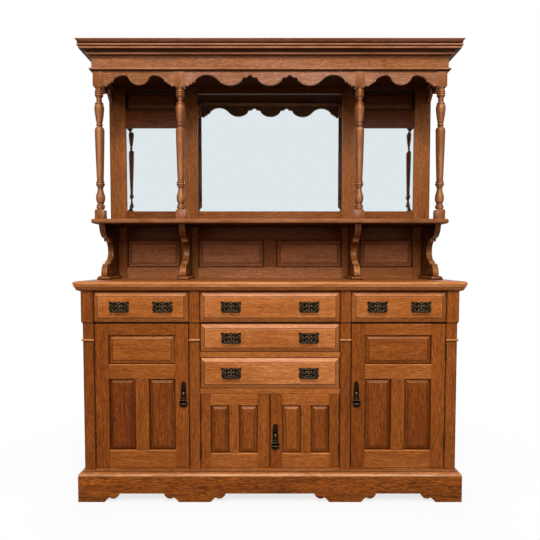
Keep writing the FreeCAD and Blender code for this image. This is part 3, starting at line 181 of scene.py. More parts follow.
def arc_through(start: Corner, middle: Corner, end: Corner, count: int = 9) -> Array:
    """Points of the circle through three points, centred where two bisectors cross.

    Args:
        start: first point.
        middle: a point that the arc passes.
        end: last point.
        count: how many points to give.

    Returns:
        Points after the start, up to the end.
    """
    a, b, c = (np.array(corner, dtype=float) for corner in (start, middle, end))
    rows = np.array([b - a, c - b])
    centre = np.linalg.solve(rows, np.array([(b @ b - a @ a) / 2, (c @ c - b @ b) / 2]))
    angles = [math.atan2(*(p - centre)[::-1]) for p in (a, b, c)]
    turn = math.copysign(2 * math.pi, np.cross(b - a, c - b))
    sweep = (angles[2] - angles[0]) % turn
    steps = angles[0] + sweep * np.arange(1, count + 1) / count
    spokes = np.column_stack([np.cos(steps), np.sin(steps)])
    return centre + np.linalg.norm(a - centre) * spokes


def outline(start: Corner, steps: Steps, count: int = 9) -> Array:
    """Lines and arcs: a step is a corner, or a point that an arc passes and a corner.

    Args:
        start: first corner.
        steps: what follows it.
        count: points of each arc.

    Returns:
        The points, with the first one included.
    """
    runs, here = [np.array([start], dtype=float)], start
    for step in steps:
        straight = len(step) == 1
        runs.append(np.array(step, dtype=float) if straight else arc_through(here, *step, count))
        here = step[-1]
    return np.vstack(runs)


def flipped(points: Array) -> Array:
    """The points on the other side of the middle, in reverse order."""
    return points[::-1] * np.array([-1.0, 1.0])


def normals(ahead: Array) -> Array:
    """Unit normals on the right of each direction."""
    side = np.column_stack([ahead[:, 1], -ahead[:, 0]])
    return side / np.linalg.norm(ahead, axis=1, keepdims=True)


def inset(shape: Array, amount: float) -> Array:
    """Move each corner of a closed outline inwards along the mean of its two edges' normals.

    Args:
        shape: the outline, anticlockwise.
        amount: how far its edges go in.

    Returns:
        The smaller outline.
    """
    normal = normals(np.roll(shape, -1, axis=0) - shape)
    mean = normal + np.roll(normal, 1, axis=0)
    mean /= np.maximum(np.linalg.norm(mean, axis=1, keepdims=True), 1e-6)
    reach = np.maximum((mean * normal).sum(axis=1, keepdims=True), 0.5)
    return shape - amount * mean / reach


# steps of two grooves on an edge: (height, cut, value), painted shade in the grooves, painted
# highlights on the reeds
GROOVES: Rows = ((4.0, 0, 0.7), (5.0, 1, -0.8), (6.4, 1, -0.8), (7.4, 0, 0.5), (9.0, 0, 0.0))


def sawn(shape: Array, low: float, high: float, plane: Plane, edge: float = 1.2,
         face_shade: Pair = (0.0, 0.0), groove: float = 0.0, along: Sequence[Pair] = ()) -> Surface:
    """A board sawn to an outline: insets of the outline stacked along its thickness.

    Args:
        shape: the outline.
        low: where its thickness starts.
        high: where its thickness ends.
        plane: which axes the outline lies on.
        edge: radius of the eased edges.
        face_shade: painted shade on its first and last faces: how dark each is.
        groove: depth of two grooves run along its edge, if any.
        along: further (height, value) up the outline: painted highlights above zero, painted shade
            below.

    Returns:
        The board.
    """
    area = np.cross(shape, np.roll(shape, -1, axis=0)).sum()
    shape = shape if area > 0 else shape[::-1]
    ease = [(0.0, edge, 0.0), (EASED * edge, EASED * edge, 1.0), (edge, 0.0, 0.3),
            (edge + 2.5, 0.0, 0.0)]
    if groove:
        ease += [(edge + up, groove * cut, wear_and_shade) for up, cut, wear_and_shade in GROOVES]
    # painted shade on the first and last faces
    levels = [(low + up, back, wear_and_shade - face_shade[0] * (up == 0)) for up, back, wear_and_shade in ease]
    levels += [(high - up, back, wear_and_shade - face_shade[1] * (up == 0)) for up, back, wear_and_shade in reversed(ease)]
    points = np.vstack([placed(inset(shape, back), np.full(len(shape), at), plane)
                        for at, back, _ in levels])
    more = np.interp(shape[:, 1], *zip(*along)) if along else np.zeros(len(shape))
    wear_and_shade = np.array([wear_and_shade for _, _, wear_and_shade in levels])[:, None] + more
    return Surface(points, capped(len(levels), len(shape)), np.clip(wear_and_shade, -1, 1).ravel())


def stacked(levels: Rows, plane: Plane, corner: float = 0.8, rim: float = 0.0,
            sides: Sequence[float] = (0.0, 0.0, 0.0, 0.0), sloped: Sequence[int] = (),
            fade: float = 4.0) -> Surface:
    """Rectangles with eased corners stacked along the depth, first and last filled.

    Args:
        levels: (low across, high across, low up, high up, depth, rubbing and shade) of each
            rectangle.
        plane: which axes the rectangles lie on.
        corner: radius of their corners.
        rim: how much lighter the edges that the corners make are; below zero it is painted shade
            along them.
        sides: painted light on the low, right, high and left slopes, by the way each faces.
        sloped: numbers of the rectangles that bound those slopes.
        fade: how far from a corner the rubbing of an edge or the painted light of a slope has
            settled.

    Returns:
        The closed stack.
    """
    table = np.array(levels, dtype=float)
    a0, a1, b0, b1, depth, wear_and_shade = (column[:, None] for column in table.T)
    near, band = EASED * corner, corner + fade
    turn = np.array([(0, band), (0, corner), (near, near), (corner, 0), (band, 0)])
    turn = turn if rim or len(sloped) else turn[1:-1]
    (into, rise), (back, fall) = turn.T, turn[::-1].T
    across = np.hstack([a0 + into, a1 - back, a1 - into, a0 + back])
    up = np.hstack([b0 + rise, b0 + fall, b1 - rise, b1 - fall])
    size = across.shape[1]
    flat = np.column_stack([across.ravel(), up.ravel()])
    edges = rim * np.tile(turn.max(axis=1) < band, 4)
    # painted light on the slopes, blended across each mitre
    ends = np.array(sides)[[3, 0, 0, 1, 1, 2, 2, 3]].reshape(4, 2)
    mitre = np.linspace(0, 1, len(turn))
    slopes = (ends[:, :1] * (1 - mitre) + ends[:, 1:] * mitre).ravel()
    chosen = np.isin(np.arange(len(levels)), sloped)[:, None]
    wear_and_shade = np.clip(wear_and_shade + edges + chosen * slopes, -1, 1).ravel()
    return Surface(placed(flat, np.repeat(depth, size), plane), capped(len(levels), size), wear_and_shade)


def ringed(across: Pair, up: Pair, face: float, rings: Rows) -> Rows:
    """Levels for a stack whose rectangles are all set in from one.

    Args:
        across: low and high of that rectangle.
        up: low and high of that rectangle.
        face: the depth that each level's own is added to.
        rings: (how far in, depth, rubbing and shade) of each level.

    Returns:
        The levels.
    """
    return [(across[0] + into, across[1] - into, up[0] + into, up[1] - into, face + depth, wear_and_shade)
            for into, depth, wear_and_shade in rings]


def carried(across: Pair, up: Pair, profile: Sequence[Corner], plane: Plane) -> Surface:
    """A closed profile carried round a rectangle, mitred at its corners, under painted shade that
    is darkest in its hollow.

    Args:
        across: low and high of the rectangle.
        up: low and high of the rectangle.
        profile: (distance inside the rectangle, depth) of each profile point.
        plane: which axes the rectangle lies on.

    Returns:
        The closed frame.
    """
    into, depth = np.array(profile, dtype=float).T
    sides = [(across[0] + into, up[0] + into), (across[1] - into, up[0] + into),
             (across[1] - into, up[1] - into), (across[0] + into, up[1] - into)]
    flat = np.stack([np.stack(side, 1) for side in sides], axis=1).reshape(-1, 2)
    points = placed(flat, np.repeat(depth, len(sides)), plane)
    # painted shade: darkest in the hollow
    hollow = depth > depth.min() + 0.6 * np.ptp(depth)
    wear_and_shade = np.repeat(np.where(hollow, -1.0, -0.4), len(sides))
    return Surface(points, loops(len(profile), len(sides), around=True), wear_and_shade)


def eased_board(x: Pair, y: Pair, z: Pair, edge: float = 1.4, rub_and_light: float = 0.5) -> Surface:
    """A box with round edges: each point is the inner box's nearest point plus an edge radius.

    Args:
        x: low and high along X.
        y: low and high along Y.
        z: low and high along Z.
        edge: radius of the edges.
        rub_and_light: how much lighter the edges are from rubbing; below zero it is painted shade
            along them.

    Returns:
        The board.
    """
    low, high = np.array([x, y, z], dtype=float).T
    edge = min(edge, float((high - low).min()) * 0.3)
    margin = np.minimum(5.0, (high - low - 2 * edge) / 4)
    steps = [np.array([0, 0.35 * edge, edge, edge + reach]) for reach in margin]
    lines = [np.concatenate([a + step, b - step[::-1]]) for a, b, step in zip(low, high, steps)]
    count = len(lines[0])
    sheets = []
    for axis in range(3):
        one, two = (axis + 1) % 3, (axis + 2) % 3
        first, second = np.meshgrid(lines[one], lines[two], indexing="ij")
        for level in (low[axis], high[axis]):
            sheet = np.empty((count, count, 3))
            sheet[..., axis], sheet[..., one], sheet[..., two] = level, first, second
            sheets.append(sheet if level == high[axis] else sheet[::-1])
    raw = np.array(sheets).reshape(-1, 3)
    start, column = np.arange(len(sheets))[:, None, None] * count ** 2, np.arange(count - 1)
    corner = start + column[:, None] * count + column
    quads = np.stack([corner, corner + count, corner + count + 1, corner + 1], -1).reshape(-1, 4)
    _, first, index = np.unique(np.round(raw, 4), axis=0, return_index=True, return_inverse=True)
    raw = raw[first]
    core = np.clip(raw, low + edge, high - edge)
    out = raw - core
    points = core + edge * out / np.linalg.norm(out, axis=1, keepdims=True)
    wear_and_shade = rub_and_light * ((np.abs(out) > 1e-6).sum(axis=1) > 1)
    return Surface(points, index.ravel()[quads].tolist(), wear_and_shade)


def moulded(profile: Array, half: float, front: float, rear: float, foot: float,
            worn_and_lit: Sequence[Pair]) -> list[Surface]:
    """A moulding along the front and both ends, in three lengths mitred at the corners.

    Args:
        profile: (out, up) of each point of the closed section.
        half: half the width of what it goes round.
        front: that thing's front.
        rear: where the end lengths stop.
        foot: height of the section's zero.
        worn_and_lit: (height, rubbing and painted light) up the section.

    Returns:
        The front, left and right lengths.
    """
    out, up = profile.T
    back = np.full_like(out, rear)
    corners = ((-half - out, back), (-half - out, front - out),
               (half + out, front - out), (half + out, back))
    stations = [np.column_stack([x, y, foot + up]) for x, y in corners]
    wear_and_shade = np.tile(np.interp(up, *zip(*worn_and_lit)), 2)
    left, middle, right = (Surface(np.vstack([a, b]), capped(2, len(out)), wear_and_shade)
                           for a, b in zip(stations, stations[1:]))
    return [middle, left, right]


def lathe(profile: Array, sides: int = 40, axis: Plane = Plane.TOP, rub_and_light: float = 0.0,
          span: int = 9) -> Surface:
    """A profile of (radius, height) spun round: each point goes to (r cos t, r sin t, height).

    The rubbing and shade value is the radius less its mean over a span of height, so necks get
    painted shade and beads a painted highlight, plus a painted highlight in a strip along the front
    while its sides get painted shade.

    Args:
        profile: radius and height of each point.
        sides: corners of a ring.
        axis: the plane that the rings lie on.
        rub_and_light: how much lighter the painted highlight on its front is than the painted shade
            on its sides.
        span: millimetres of height on either side that the mean is taken over.

    Returns:
        The closed turning.
    """
    angle = np.linspace(0, 2 * math.pi, sides, endpoint=False)
    radius, height = profile.T
    spokes = [np.outer(radius, np.cos(angle)), np.outer(radius, np.sin(angle))]
    flat = np.stack(spokes, -1).reshape(-1, 2)
    grid = np.arange(height[0] - span, height[-1] + span)
    window = np.full(2 * span + 1, 1 / (2 * span + 1))
    even = np.pad(np.interp(grid, height, radius), span, mode="edge")
    mean = np.convolve(even, window, mode="valid")
    swell_light = np.clip((radius - np.interp(height, grid, mean)) / SWELL, -0.85, 0.2)
    # painted highlight: a strip down the front, with painted shade on the sides
    front_highlight = rub_and_light * (np.maximum(-np.sin(angle), 0) ** HIGHLIGHT_STRIP - 0.28)
    wear_and_shade = np.clip(swell_light[:, None] + front_highlight, -1, 1).ravel()
    return Surface(placed(flat, np.repeat(height, sides), axis), capped(len(profile), sides), wear_and_shade)


def wire(path: Array, radius: Array, sides: int = 14) -> Surface:
    """A round bar of changing thickness along a path in the XZ plane, with its ends filled.

    The ring at a path point is p + r (n cos t + y sin t), with n the path's normal in its plane.

    Args:
        path: points with columns x and z.
        radius: thickness at each point.
        sides: corners of a ring.

    Returns:
        The closed bar, about depth zero.
    """
    normal = normals(np.gradient(path, axis=0))
    angle = np.linspace(0, 2 * math.pi, sides, endpoint=False)
    reach = radius[:, None, None] * normal[:, None, :]
    flat = path[:, None, :] + reach * np.cos(angle)[None, :, None]
    depth = radius[:, None] * np.sin(angle)[None, :]
    points = placed(flat.reshape(-1, 2), depth.ravel(), Plane.FRONT)
    return Surface(points, capped(len(path), sides), np.full(len(points), 0.15))


def relief(width: Field, height: Field, lift: Field, columns: int, rows: int,
           dull: float) -> Surface:
    """A cast plate: x, z and front height are each a function of u and v from -1 to 1.

    Args:
        width: x at (u, v).
        height: z at (u, v).
        lift: how far the front stands out at (u, v).
        columns: grid lines across.
        rows: grid lines up.
        dull: how much less of it is rubbed bright.

    Returns:
        The closed plate, its flat back at depth zero.
    """
    u, v = np.meshgrid(np.linspace(-1, 1, columns), np.linspace(-1, 1, rows), indexing="ij")
    flat = np.column_stack([width(u, v).ravel(), height(u, v).ravel()])
    rise = lift(u, v).ravel()
    size = columns * rows
    points = np.vstack([placed(flat, -rise, Plane.FRONT),
                        placed(flat, np.zeros(size), Plane.FRONT)])
    number = np.arange(size).reshape(columns, rows)
    cells = [number[:-1, :-1], number[1:, :-1], number[1:, 1:], number[:-1, 1:]]
    front = np.stack(cells, -1).reshape(-1, 4)
    rim = np.concatenate([number[:, 0], number[-1, 1:], number[-2::-1, -1], number[0, -2:0:-1]])
    after = np.roll(rim, -1)
    skirt = np.column_stack([rim, rim + size, after + size, after])
    faces = front.tolist() + (front[:, ::-1] + size).tolist() + skirt.tolist()
    wear_and_shade = np.clip((rise - rise.mean()) / max(float(np.ptp(rise)), 1e-6) * 2 - dull, -1, 1)
    return Surface(points, faces, np.concatenate([wear_and_shade, np.zeros(size)]))


def tint(red: float, green: float, blue: float) -> Colour:
    """A screen colour as linear light: ((c + 0.055) / 1.055) to the power 2.4, or c / 12.92.

    Args:
        red: its red, from 0 to 255.
        green: its green.
        blue: its blue.

    Returns:
        The colour, with full cover.
    """
    shares = np.array([red, green, blue]) / 255
    linear = np.where(shares > 0.04045, ((shares + 0.055) / 1.055) ** 2.4, shares / 12.92)
    return (*(float(part) for part in linear), 1.0)


class NodeBench:
    """The nodes of a material or a world, with short calls to add and join them."""

    def __init__(self, owner: bpy.types.Material | bpy.types.World) -> None:
        """Start with an empty tree and an output.

        Args:
            owner: the material or world.
        """
        owner.use_nodes = True
        self.owner, self.tree = owner, owner.node_tree
        self.tree.nodes.clear()
        kind = "World" if isinstance(owner, bpy.types.World) else "Material"
        self.out = self.tree.nodes.new(f"ShaderNodeOutput{kind}")

    def add(self, kind: str, inputs: dict | None = None, **settings: object) -> bpy.types.Node:
        """Add a node.

        Args:
            kind: the node's type after "ShaderNode".
            inputs: sockets or plain values by input name or number.
            settings: the node's own properties.

        Returns:
            The node.
        """
        node = self.tree.nodes.new("ShaderNode" + kind)
        for key, setting in settings.items():
            setattr(node, key, setting)
        for key, source in (inputs or {}).items():
            if isinstance(source, Socket):
                self.tree.links.new(source, node.inputs[key])
            else:
                node.inputs[key].default_value = source
        return node

    def math(self, kind: str, first: object, second: object, clamp: bool = False) -> Socket:
        """A sum on two values."""
        return self.add("Math", {0: first, 1: second}, operation=kind, use_clamp=clamp).outputs[0]

    def times(self, first: object, second: object) -> Socket:
        """One value times another."""
        return self.math("MULTIPLY", first, second)

    def plus(self, first: object, second: object) -> Socket:
        """One value plus another."""
        return self.math("ADD", first, second)

    def vector(self, kind: str, first: object, second: object) -> Socket:
        """A sum on two vectors."""
        return self.add("VectorMath", {0: first, 1: second}, operation=kind).outputs[0]

    def length(self, source: Socket) -> Socket:
        """A vector's length."""
        return self.add("VectorMath", {0: source}, operation="LENGTH").outputs["Value"]

    def blend(self, factor: object, first: object, second: object, kind: str = "MIX") -> Socket:
        """A mix of two colours."""
        inputs = {"Factor": factor, 6: first, 7: second}
        return self.add("Mix", inputs, data_type="RGBA", blend_type=kind).outputs[2]

    def stretch(self, source: Socket, scale: Triple) -> Socket:
        """Coordinates scaled along each axis."""
        return self.add("Mapping", {"Vector": source, "Scale": scale}).outputs[0]

    def noise(self, source: Socket, scale: float = 1.0, detail: float = 4.0,
              rough: float = 0.55) -> Socket:
        """A noise value at some coordinates."""
        inputs = {"Vector": source, "Scale": scale, "Detail": detail, "Roughness": rough}
        return self.add("TexNoise", inputs).outputs[0]

    def streaks(self, source: Socket, scale: Triple, detail: float = 4.0,
                rough: float = 0.55) -> Socket:
        """A noise value at coordinates scaled along each axis."""
        return self.noise(self.stretch(source, scale), detail=detail, rough=rough)

    def ramp(self, source: object, low: float, high: float, first: float = 0.0,
             last: float = 1.0) -> Socket:
        """A value spread from first at low to last at high and held there."""
        inputs = {0: source, 1: low, 2: high, 3: first, 4: last}
        return self.add("MapRange", inputs, clamp=True).outputs[0]

    def value(self, name: str) -> Socket:
        """A number kept on the mesh."""
        return self.add("Attribute", attribute_name=name).outputs["Fac"]

    def place(self) -> Socket:
        """The object's own coordinates."""
        return self.add("TexCoord").outputs["Object"]

    def seen(self) -> Socket:
        """Whether a ray comes from the camera, a mirror or a glass.

        Returns:
            1 for those, 0 for scattered light.
        """
        path = self.add("LightPath").outputs
        bright = self.math("MAXIMUM", path["Is Glossy Ray"], path["Is Transmission Ray"])
        return self.math("MAXIMUM", path["Is Camera Ray"], bright)

    def finish(self, shader: bpy.types.Node) -> bpy.types.Material | bpy.types.World:
        """Join a shader to the output and give the material or world."""
        self.tree.links.new(shader.outputs[0], self.out.inputs["Surface"])
        return self.owner


@dataclass(frozen=True)
class WoodFinish:
    """A wood with figure, fibre, pores, rubbed edges and painted highlights, and dirt and painted
    shade in its grooves.

    Args:
        name: the material's name.
        light: screen colour of its light figure.
        middle: screen colour between.
        dark: screen colour of its dark figure.
        pore_and_shade: screen colour of pores and dirt, and of painted shade.
        worn_and_lit: screen colour of rubbed edges and of painted highlights.
        sheen: screen colour of its reflections.
        roughness: how dull it is.
        specular: how strong its reflections are.
        coat: how much wax lies on it.
        age: how much of a dark tone comes as dark streaks.
    """

    name: str
    light: Triple
    middle: Triple
    dark: Triple
    pore_and_shade: Triple
    worn_and_lit: Triple
    sheen: Triple
    roughness: float
    specular: float
    coat: float
    age: float = 0.95

    def material(self) -> bpy.types.Material:
        """Make the material: each board has its own grain coordinates, with X along the grain.

        Returns:
            The material.
        """
        bench = NodeBench(bpy.data.materials.new(self.name))
        light, middle, dark, pore_and_shade, worn_and_lit = (tint(*shade) for shade in (
            self.light, self.middle, self.dark, self.pore_and_shade, self.worn_and_lit))
        grain = bench.add("Attribute", attribute_name="grain").outputs["Vector"]
        drift = bench.add("TexNoise", {"Vector": bench.stretch(grain, (1.4, 8, 8)), "Detail": 3.0})
        sway = bench.vector("SUBTRACT", drift.outputs["Color"], (0.5, 0.5, 0.5))
        bent = bench.vector("ADD", grain, bench.vector("MULTIPLY", sway, (0.0, 0.016, 0.016)))
        figure = bench.streaks(bent, (2.4, 34, 34), rough=0.6)
        fibre = bench.streaks(bent, (9, 420, 420), detail=3.0)
        fleck = bench.streaks(bent, (40, 290, 290), rough=0.7)
        cloud = bench.streaks(grain, (2.2, 5, 5), detail=2.0)
        radius = bench.length(bench.vector("MULTIPLY", bent, (0.0, 1.0, 1.0)))
        rings = bench.plus(bench.times(radius, 62.0), bench.times(figure, 3.0))
        late = bench.ramp(bench.math("FRACT", rings, 0.0), 0.55, 1.0)
        pores = bench.ramp(bench.streaks(bent, (38, 800, 800), detail=2.0), 0.54, 0.68)
        streak = bench.plus(bench.times(fibre, 0.4), bench.times(fleck, 0.6))
        body = bench.blend(bench.ramp(figure, 0.22, 0.70), dark, light)
        body = bench.blend(bench.times(bench.ramp(cloud, 0.30, 0.70), 0.6), body, middle)
        body = bench.blend(bench.times(late, 0.22), body, dark)
        body = bench.blend(bench.times(bench.ramp(streak, 0.54, 0.38), 0.85), body, dark)
        body = bench.blend(bench.times(bench.ramp(streak, 0.52, 0.66), 0.55), body, worn_and_lit)
        body = bench.blend(bench.times(pores, 0.42), body, pore_and_shade)
        wear_and_shade, tone = bench.value("wear_and_shade"), bench.value("tone")
        patchy = bench.ramp(bench.streaks(grain, (9, 40, 40)), 0.26, 0.58)
        # painted highlights and rubbed edges: above zero the colour goes towards the colour of
        # rubbed edges
        rubbed = bench.times(bench.math("MAXIMUM", wear_and_shade, 0.0), patchy)
        body = bench.blend(bench.times(rubbed, 0.7), body, worn_and_lit)
        shade = bench.times(bench.plus(tone, 1.0), bench.plus(bench.times(cloud, 0.6), 0.71))
        tones = bench.add("CombineColor", {0: shade, 1: bench.math("POWER", shade, 1.5),
                                           2: bench.math("POWER", shade, 2.9)}).outputs[0]
        body = bench.blend(1.0, body, tones, kind="MULTIPLY")
        aged = bench.math("MULTIPLY", tone, -self.age, clamp=True)
        body = bench.blend(bench.times(bench.ramp(streak, 0.52, 0.36), aged), body, pore_and_shade)
        patch = bench.streaks(bent, (17, 140, 140), detail=3.0, rough=0.6)
        body = bench.blend(bench.times(bench.ramp(patch, 0.51, 0.34), aged), body, pore_and_shade)
        # painted shade and dirt: below zero the colour goes towards the dark colour of pores
        grime_and_shade = bench.math("MAXIMUM", bench.times(wear_and_shade, -1.0), 0.0)
        body = bench.blend(bench.times(grime_and_shade, 0.92), body, pore_and_shade)
        gloss = bench.ramp(fleck, 0.3, 0.7, self.roughness + 0.08, self.roughness - 0.06)
        grooves = bench.math("SUBTRACT", bench.times(streak, 0.7), pores)
        bump = bench.add("Bump", {"Height": grooves, "Strength": 0.22, "Distance": 0.0007})
        return bench.finish(bench.add("BsdfPrincipled", {
            "Base Color": body, "Roughness": gloss, "Normal": bump.outputs[0],
            "Coat Weight": self.coat, "Coat Roughness": 0.24,
            "Specular IOR Level": self.specular, "Specular Tint": tint(*self.sheen)}))


@dataclass(frozen=True)
class MetalFinish:
    """An aged cast metal: dark in its hollows, rubbed bright on its high parts.

    Args:
        name: the material's name.
        high: screen colour of its high parts.
        body: screen colour between.
        hollow: screen colour of its hollows.
        roughness: how dull it is.
    """

    name: str
    high: Triple
    body: Triple
    hollow: Triple
    roughness: float

    def material(self) -> bpy.types.Material:
        """Make the material from the mesh's wear and mottling in object coordinates.

        Returns:
            The material.
        """
        bench = NodeBench(bpy.data.materials.new(self.name))
        place = bench.place()
        mottle = bench.noise(place, scale=260.0)
        uneven = bench.times(bench.math("SUBTRACT", mottle, 0.5), 0.9)
        wear_and_shade = bench.plus(bench.value("wear_and_shade"), uneven)
        colour = bench.blend(bench.ramp(wear_and_shade, 0.15, 0.95), tint(*self.body), tint(*self.high))
        colour = bench.blend(bench.ramp(wear_and_shade, 0.0, -0.7), colour, tint(*self.hollow))
        rough = bench.ramp(mottle, 0.3, 0.7, self.roughness - 0.1, self.roughness + 0.12)
        bump = bench.add("Bump", {"Height": bench.noise(place, scale=700.0), "Strength": 0.25,
                                  "Distance": 0.0003})
        return bench.finish(bench.add("BsdfPrincipled", {
            "Base Color": colour, "Metallic": 0.85, "Roughness": rough, "Normal": bump.outputs[0],
            "Specular IOR Level": 0.12, "Specular Tint": tint(255, 206, 160)}))


@dataclass(frozen=True)
class MirrorFinish:
    """Old silvered glass, a little cloudy and speckled in places.

    Args:
        name: the material's name.
        silver: screen colour of the silver.
        spot: screen colour of dull specks.
    """

    name: str
    silver: Triple
    spot: Triple

    def material(self) -> bpy.types.Material:
        """Make the material: silver with a few dull specks in object coordinates.

        Returns:
            The material.
        """
        bench = NodeBench(bpy.data.materials.new(self.name))
        place = bench.place()
        specks = bench.ramp(bench.noise(place, scale=42.0, detail=5.0, rough=0.7), 0.70, 0.80)
        colour = bench.blend(bench.times(specks, 0.5), tint(*self.silver), tint(*self.spot))
        haze = bench.ramp(bench.noise(place, scale=6.0), 0.3, 0.8, 0.01, 0.035)
        return bench.finish(bench.add("BsdfPrincipled", {
            "Base Color": colour, "Metallic": 1.0, "Roughness": haze}))


class Finish(Enum):
    """The finishes that the pieces share."""

    OAK = WoodFinish("waxed_oak", (198, 116, 53), (182, 104, 44), (142, 74, 26), (36, 13, 3),
                     (226, 154, 98), (255, 222, 192), 0.42, 0.18, 0.05)
    # pale, little saturated colours stand in for a reflected sheen: painted sheen on the frieze and
    # valances
    PALE_SHEEN = WoodFinish("pale_sheen_oak", (197, 140, 118), (181, 126, 104), (144, 94, 74), (36, 14, 5),
                       (232, 186, 162), (255, 220, 196), 0.5, 0.03, 0.0, 0.4)
    BROWN = WoodFinish("brown_oak", (190, 120, 70), (176, 107, 60), (137, 77, 40), (36, 15, 5),
                       (222, 154, 92), (255, 226, 200), 0.42, 0.18, 0.05)
    POLISHED = WoodFinish("polished_oak", (198, 122, 66), (182, 110, 56), (142, 80, 36),
                          (36, 13, 3), (255, 200, 160), (255, 206, 168), 0.34, 0.42, 0.04)
    TURNED = WoodFinish("turned_oak", (187, 118, 86), (171, 104, 74), (133, 74, 49), (36, 14, 5),
                        (238, 190, 164), (255, 230, 208), 0.38, 0.22, 0.04, 0.4)
    DUSKY = WoodFinish("dusky_oak", (152, 99, 77), (141, 90, 69), (122, 75, 55), (30, 12, 5),
                       (206, 146, 116), (255, 220, 196), 0.48, 0.05, 0.0, 0.4)
    FIGURED = WoodFinish("figured_oak", (244, 146, 62), (184, 100, 40), (76, 34, 8), (30, 10, 2),
                         (244, 170, 104), (255, 222, 192), 0.42, 0.18, 0.05)
    # dark colours: painted shade on the ceiling under the canopy; the dust board's tone lightens
    # them back
    SHADED = WoodFinish("unpolished_and_shade_darkened_oak", (92, 54, 32), (82, 46, 26), (60, 31, 16), (26, 12, 6),
                        (104, 64, 40), (255, 214, 178), 0.85, 0.06, 0.0)
    INSIDE = WoodFinish("plain_pine", (196, 150, 98), (182, 134, 84), (150, 104, 60),
                        (104, 68, 36), (206, 166, 116), (255, 240, 220), 0.62, 0.25, 0.0)
    BRONZE = MetalFinish("aged_bronze", (166, 142, 114), (44, 30, 19), (15, 9, 4), 0.48)
    HINGE = MetalFinish("dull_hinge_metal", (104, 74, 44), (66, 43, 24), (30, 20, 12), 0.5)
    MIRROR = MirrorFinish("silvered_glass", (222, 231, 234), (150, 150, 146))

    @cached_property
    def material(self) -> bpy.types.Material:
        """The finish's material, made once."""
        return self.value.material()


class Piece:
    """One visual piece, gathered from closed surfaces that each have their own grain and tone."""

    def __init__(self, name: str, body: str, nodes: Sequence[str], slot: str) -> None:
        """Start an empty piece.

        Args:
            name: the piece's name.
            body: the body that it moves with.
            nodes: the solid nodes that it stands for.
            slot: the name of its material slot; not used.
        """
        self.name, self.body, self.nodes, self.slot = name, body, tuple(nodes), slot
        self.random = np.random.default_rng(zlib.crc32(name.encode()))
        self.points: list[Array] = []
        self.faces: list[list[int]] = []
        self.values: dict[str, list[Array]] = {"grain": [], "wear_and_shade": [], "tone": []}
        self.count = 0

    def add(self, surface: Surface, grain: Grain = Grain.X, tone: float = 0.0,
            mirror: bool = False) -> None:
        """Take in a closed surface, with its faces turned outwards.

        Args:
            surface: the surface, in millimetres.
            grain: the way that its grain runs.
            tone: how much lighter or darker than usual it is.
            mirror: whether to put it on the other side of the middle.
        """
        points = surface.points * np.array([-1.0, 1.0, 1.0]) if mirror else surface.points
        solid = Surface(points, surface.faces, surface.wear_and_shade)
        faces = solid.faces if solid.volume() > 0 else [face[::-1] for face in solid.faces]
        self.faces += [[corner + self.count for corner in face] for face in faces]
        self.count += len(points)
        self.points.append(points * MM)
        place = self.random.uniform(0, GRAIN_SPREAD, 3)
        self.values["grain"].append(points[:, grain.value] * MM + place)
        self.values["wear_and_shade"].append(surface.wear_and_shade)
        tone += self.random.normal(0, TONE_SPREAD)
        self.values["tone"].append(np.full(len(points), tone))

    def both(self, surface: Surface, grain: Grain = Grain.X, tone: float = 0.0) -> None:
        """Take in a left-hand surface and its right-hand twin."""
        self.add(surface, grain, tone)
        self.add(surface, grain, tone, mirror=True)

    def run(self, lengths: Sequence[Surface], tone: float) -> None:
        """Take in a moulding's front, left and right lengths, each with its grain along it."""
        for length, grain in zip(lengths, (Grain.X, Grain.Y, Grain.Y)):
            self.add(length, grain, tone)

    def build(self, finish: Finish) -> None:
        """Make the mesh, ride it on its body and let it stand for its nodes.

        Args:
            finish: what it is finished with.
        """
        mesh = bpy.data.meshes.new(self.name)
        mesh.from_pydata(np.vstack(self.points).tolist(), [], self.faces)
        for name, parts in self.values.items():
            data = np.concatenate(parts).astype(np.float32)
            kind, key = ("FLOAT_VECTOR", "vector") if data.ndim > 1 else ("FLOAT", "value")
            mesh.attributes.new(name, kind, "POINT").data.foreach_set(key, data.ravel())
        mesh.materials.append(finish.material)
        mesh.shade_smooth()
        mesh.set_sharp_from_angle(angle=SHADE_ANGLE)
        thing = bpy.data.objects.new(self.name, mesh)
        bpy.context.scene.collection.objects.link(thing)
        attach(thing, self.body)
        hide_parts(*self.nodes)
        log.info("%s: %d corners, %d faces", self.name, self.count, len(self.faces))


@dataclass(frozen=True)
class Tones:
    """How much lighter or darker than its finish each kind of board is; a few of these are painted
    shade, as marked.
    """

    drawer: float = 0.08
    side_drawer: float = -0.06
    drawer_floor: float = 0.06
    door: float = -0.25
    centre_door: float = -0.17
    plinth: float = -0.34
    plinth_rear: float = -0.2
    plinth_moulding: float = -0.13
    pilaster: float = -0.31
    bead: float = 0.02
    end: float = -0.25
    end_panel: float = -0.39
    end_upper_panel: float = -0.33
    rail: float = -0.07
    sill: float = -0.15
    # dark: painted shadow on the rail sunk under the top drawers
    sunk_rail: float = -0.75
    plank: float = -0.25
    counter: float = 0.12
    bed_moulding: float = -0.06
    back: float = -0.23
    # dark: painted shade on the rail under the shelf
    back_rail: float = -0.3
    foot_rail: float = 0.18
    side_foot_rail: float = -0.02
    # dark: painted shade on the back's top under the canopy
    back_top: float = -0.68
    back_panel: float = 0.17
    back_centre_panel: float = 0.27
    # dark: painted shade on the moulding round the back panels
    panel_bead: float = -0.72
    bracket: float = -0.30
    bracket_foot: float = -0.55
    shelf: float = -0.34
    post: float = -0.36
    valance: float = -0.1
    side_valance: float = -0.25
    end_valance: float = -0.2
    frieze: float = -0.24
    cornice: float = -0.06
    # dark: painted shade on the ceiling under the canopy
    canopy_ceiling: float = -0.4
    dust_board: float = 0.5


TONES = Tones()


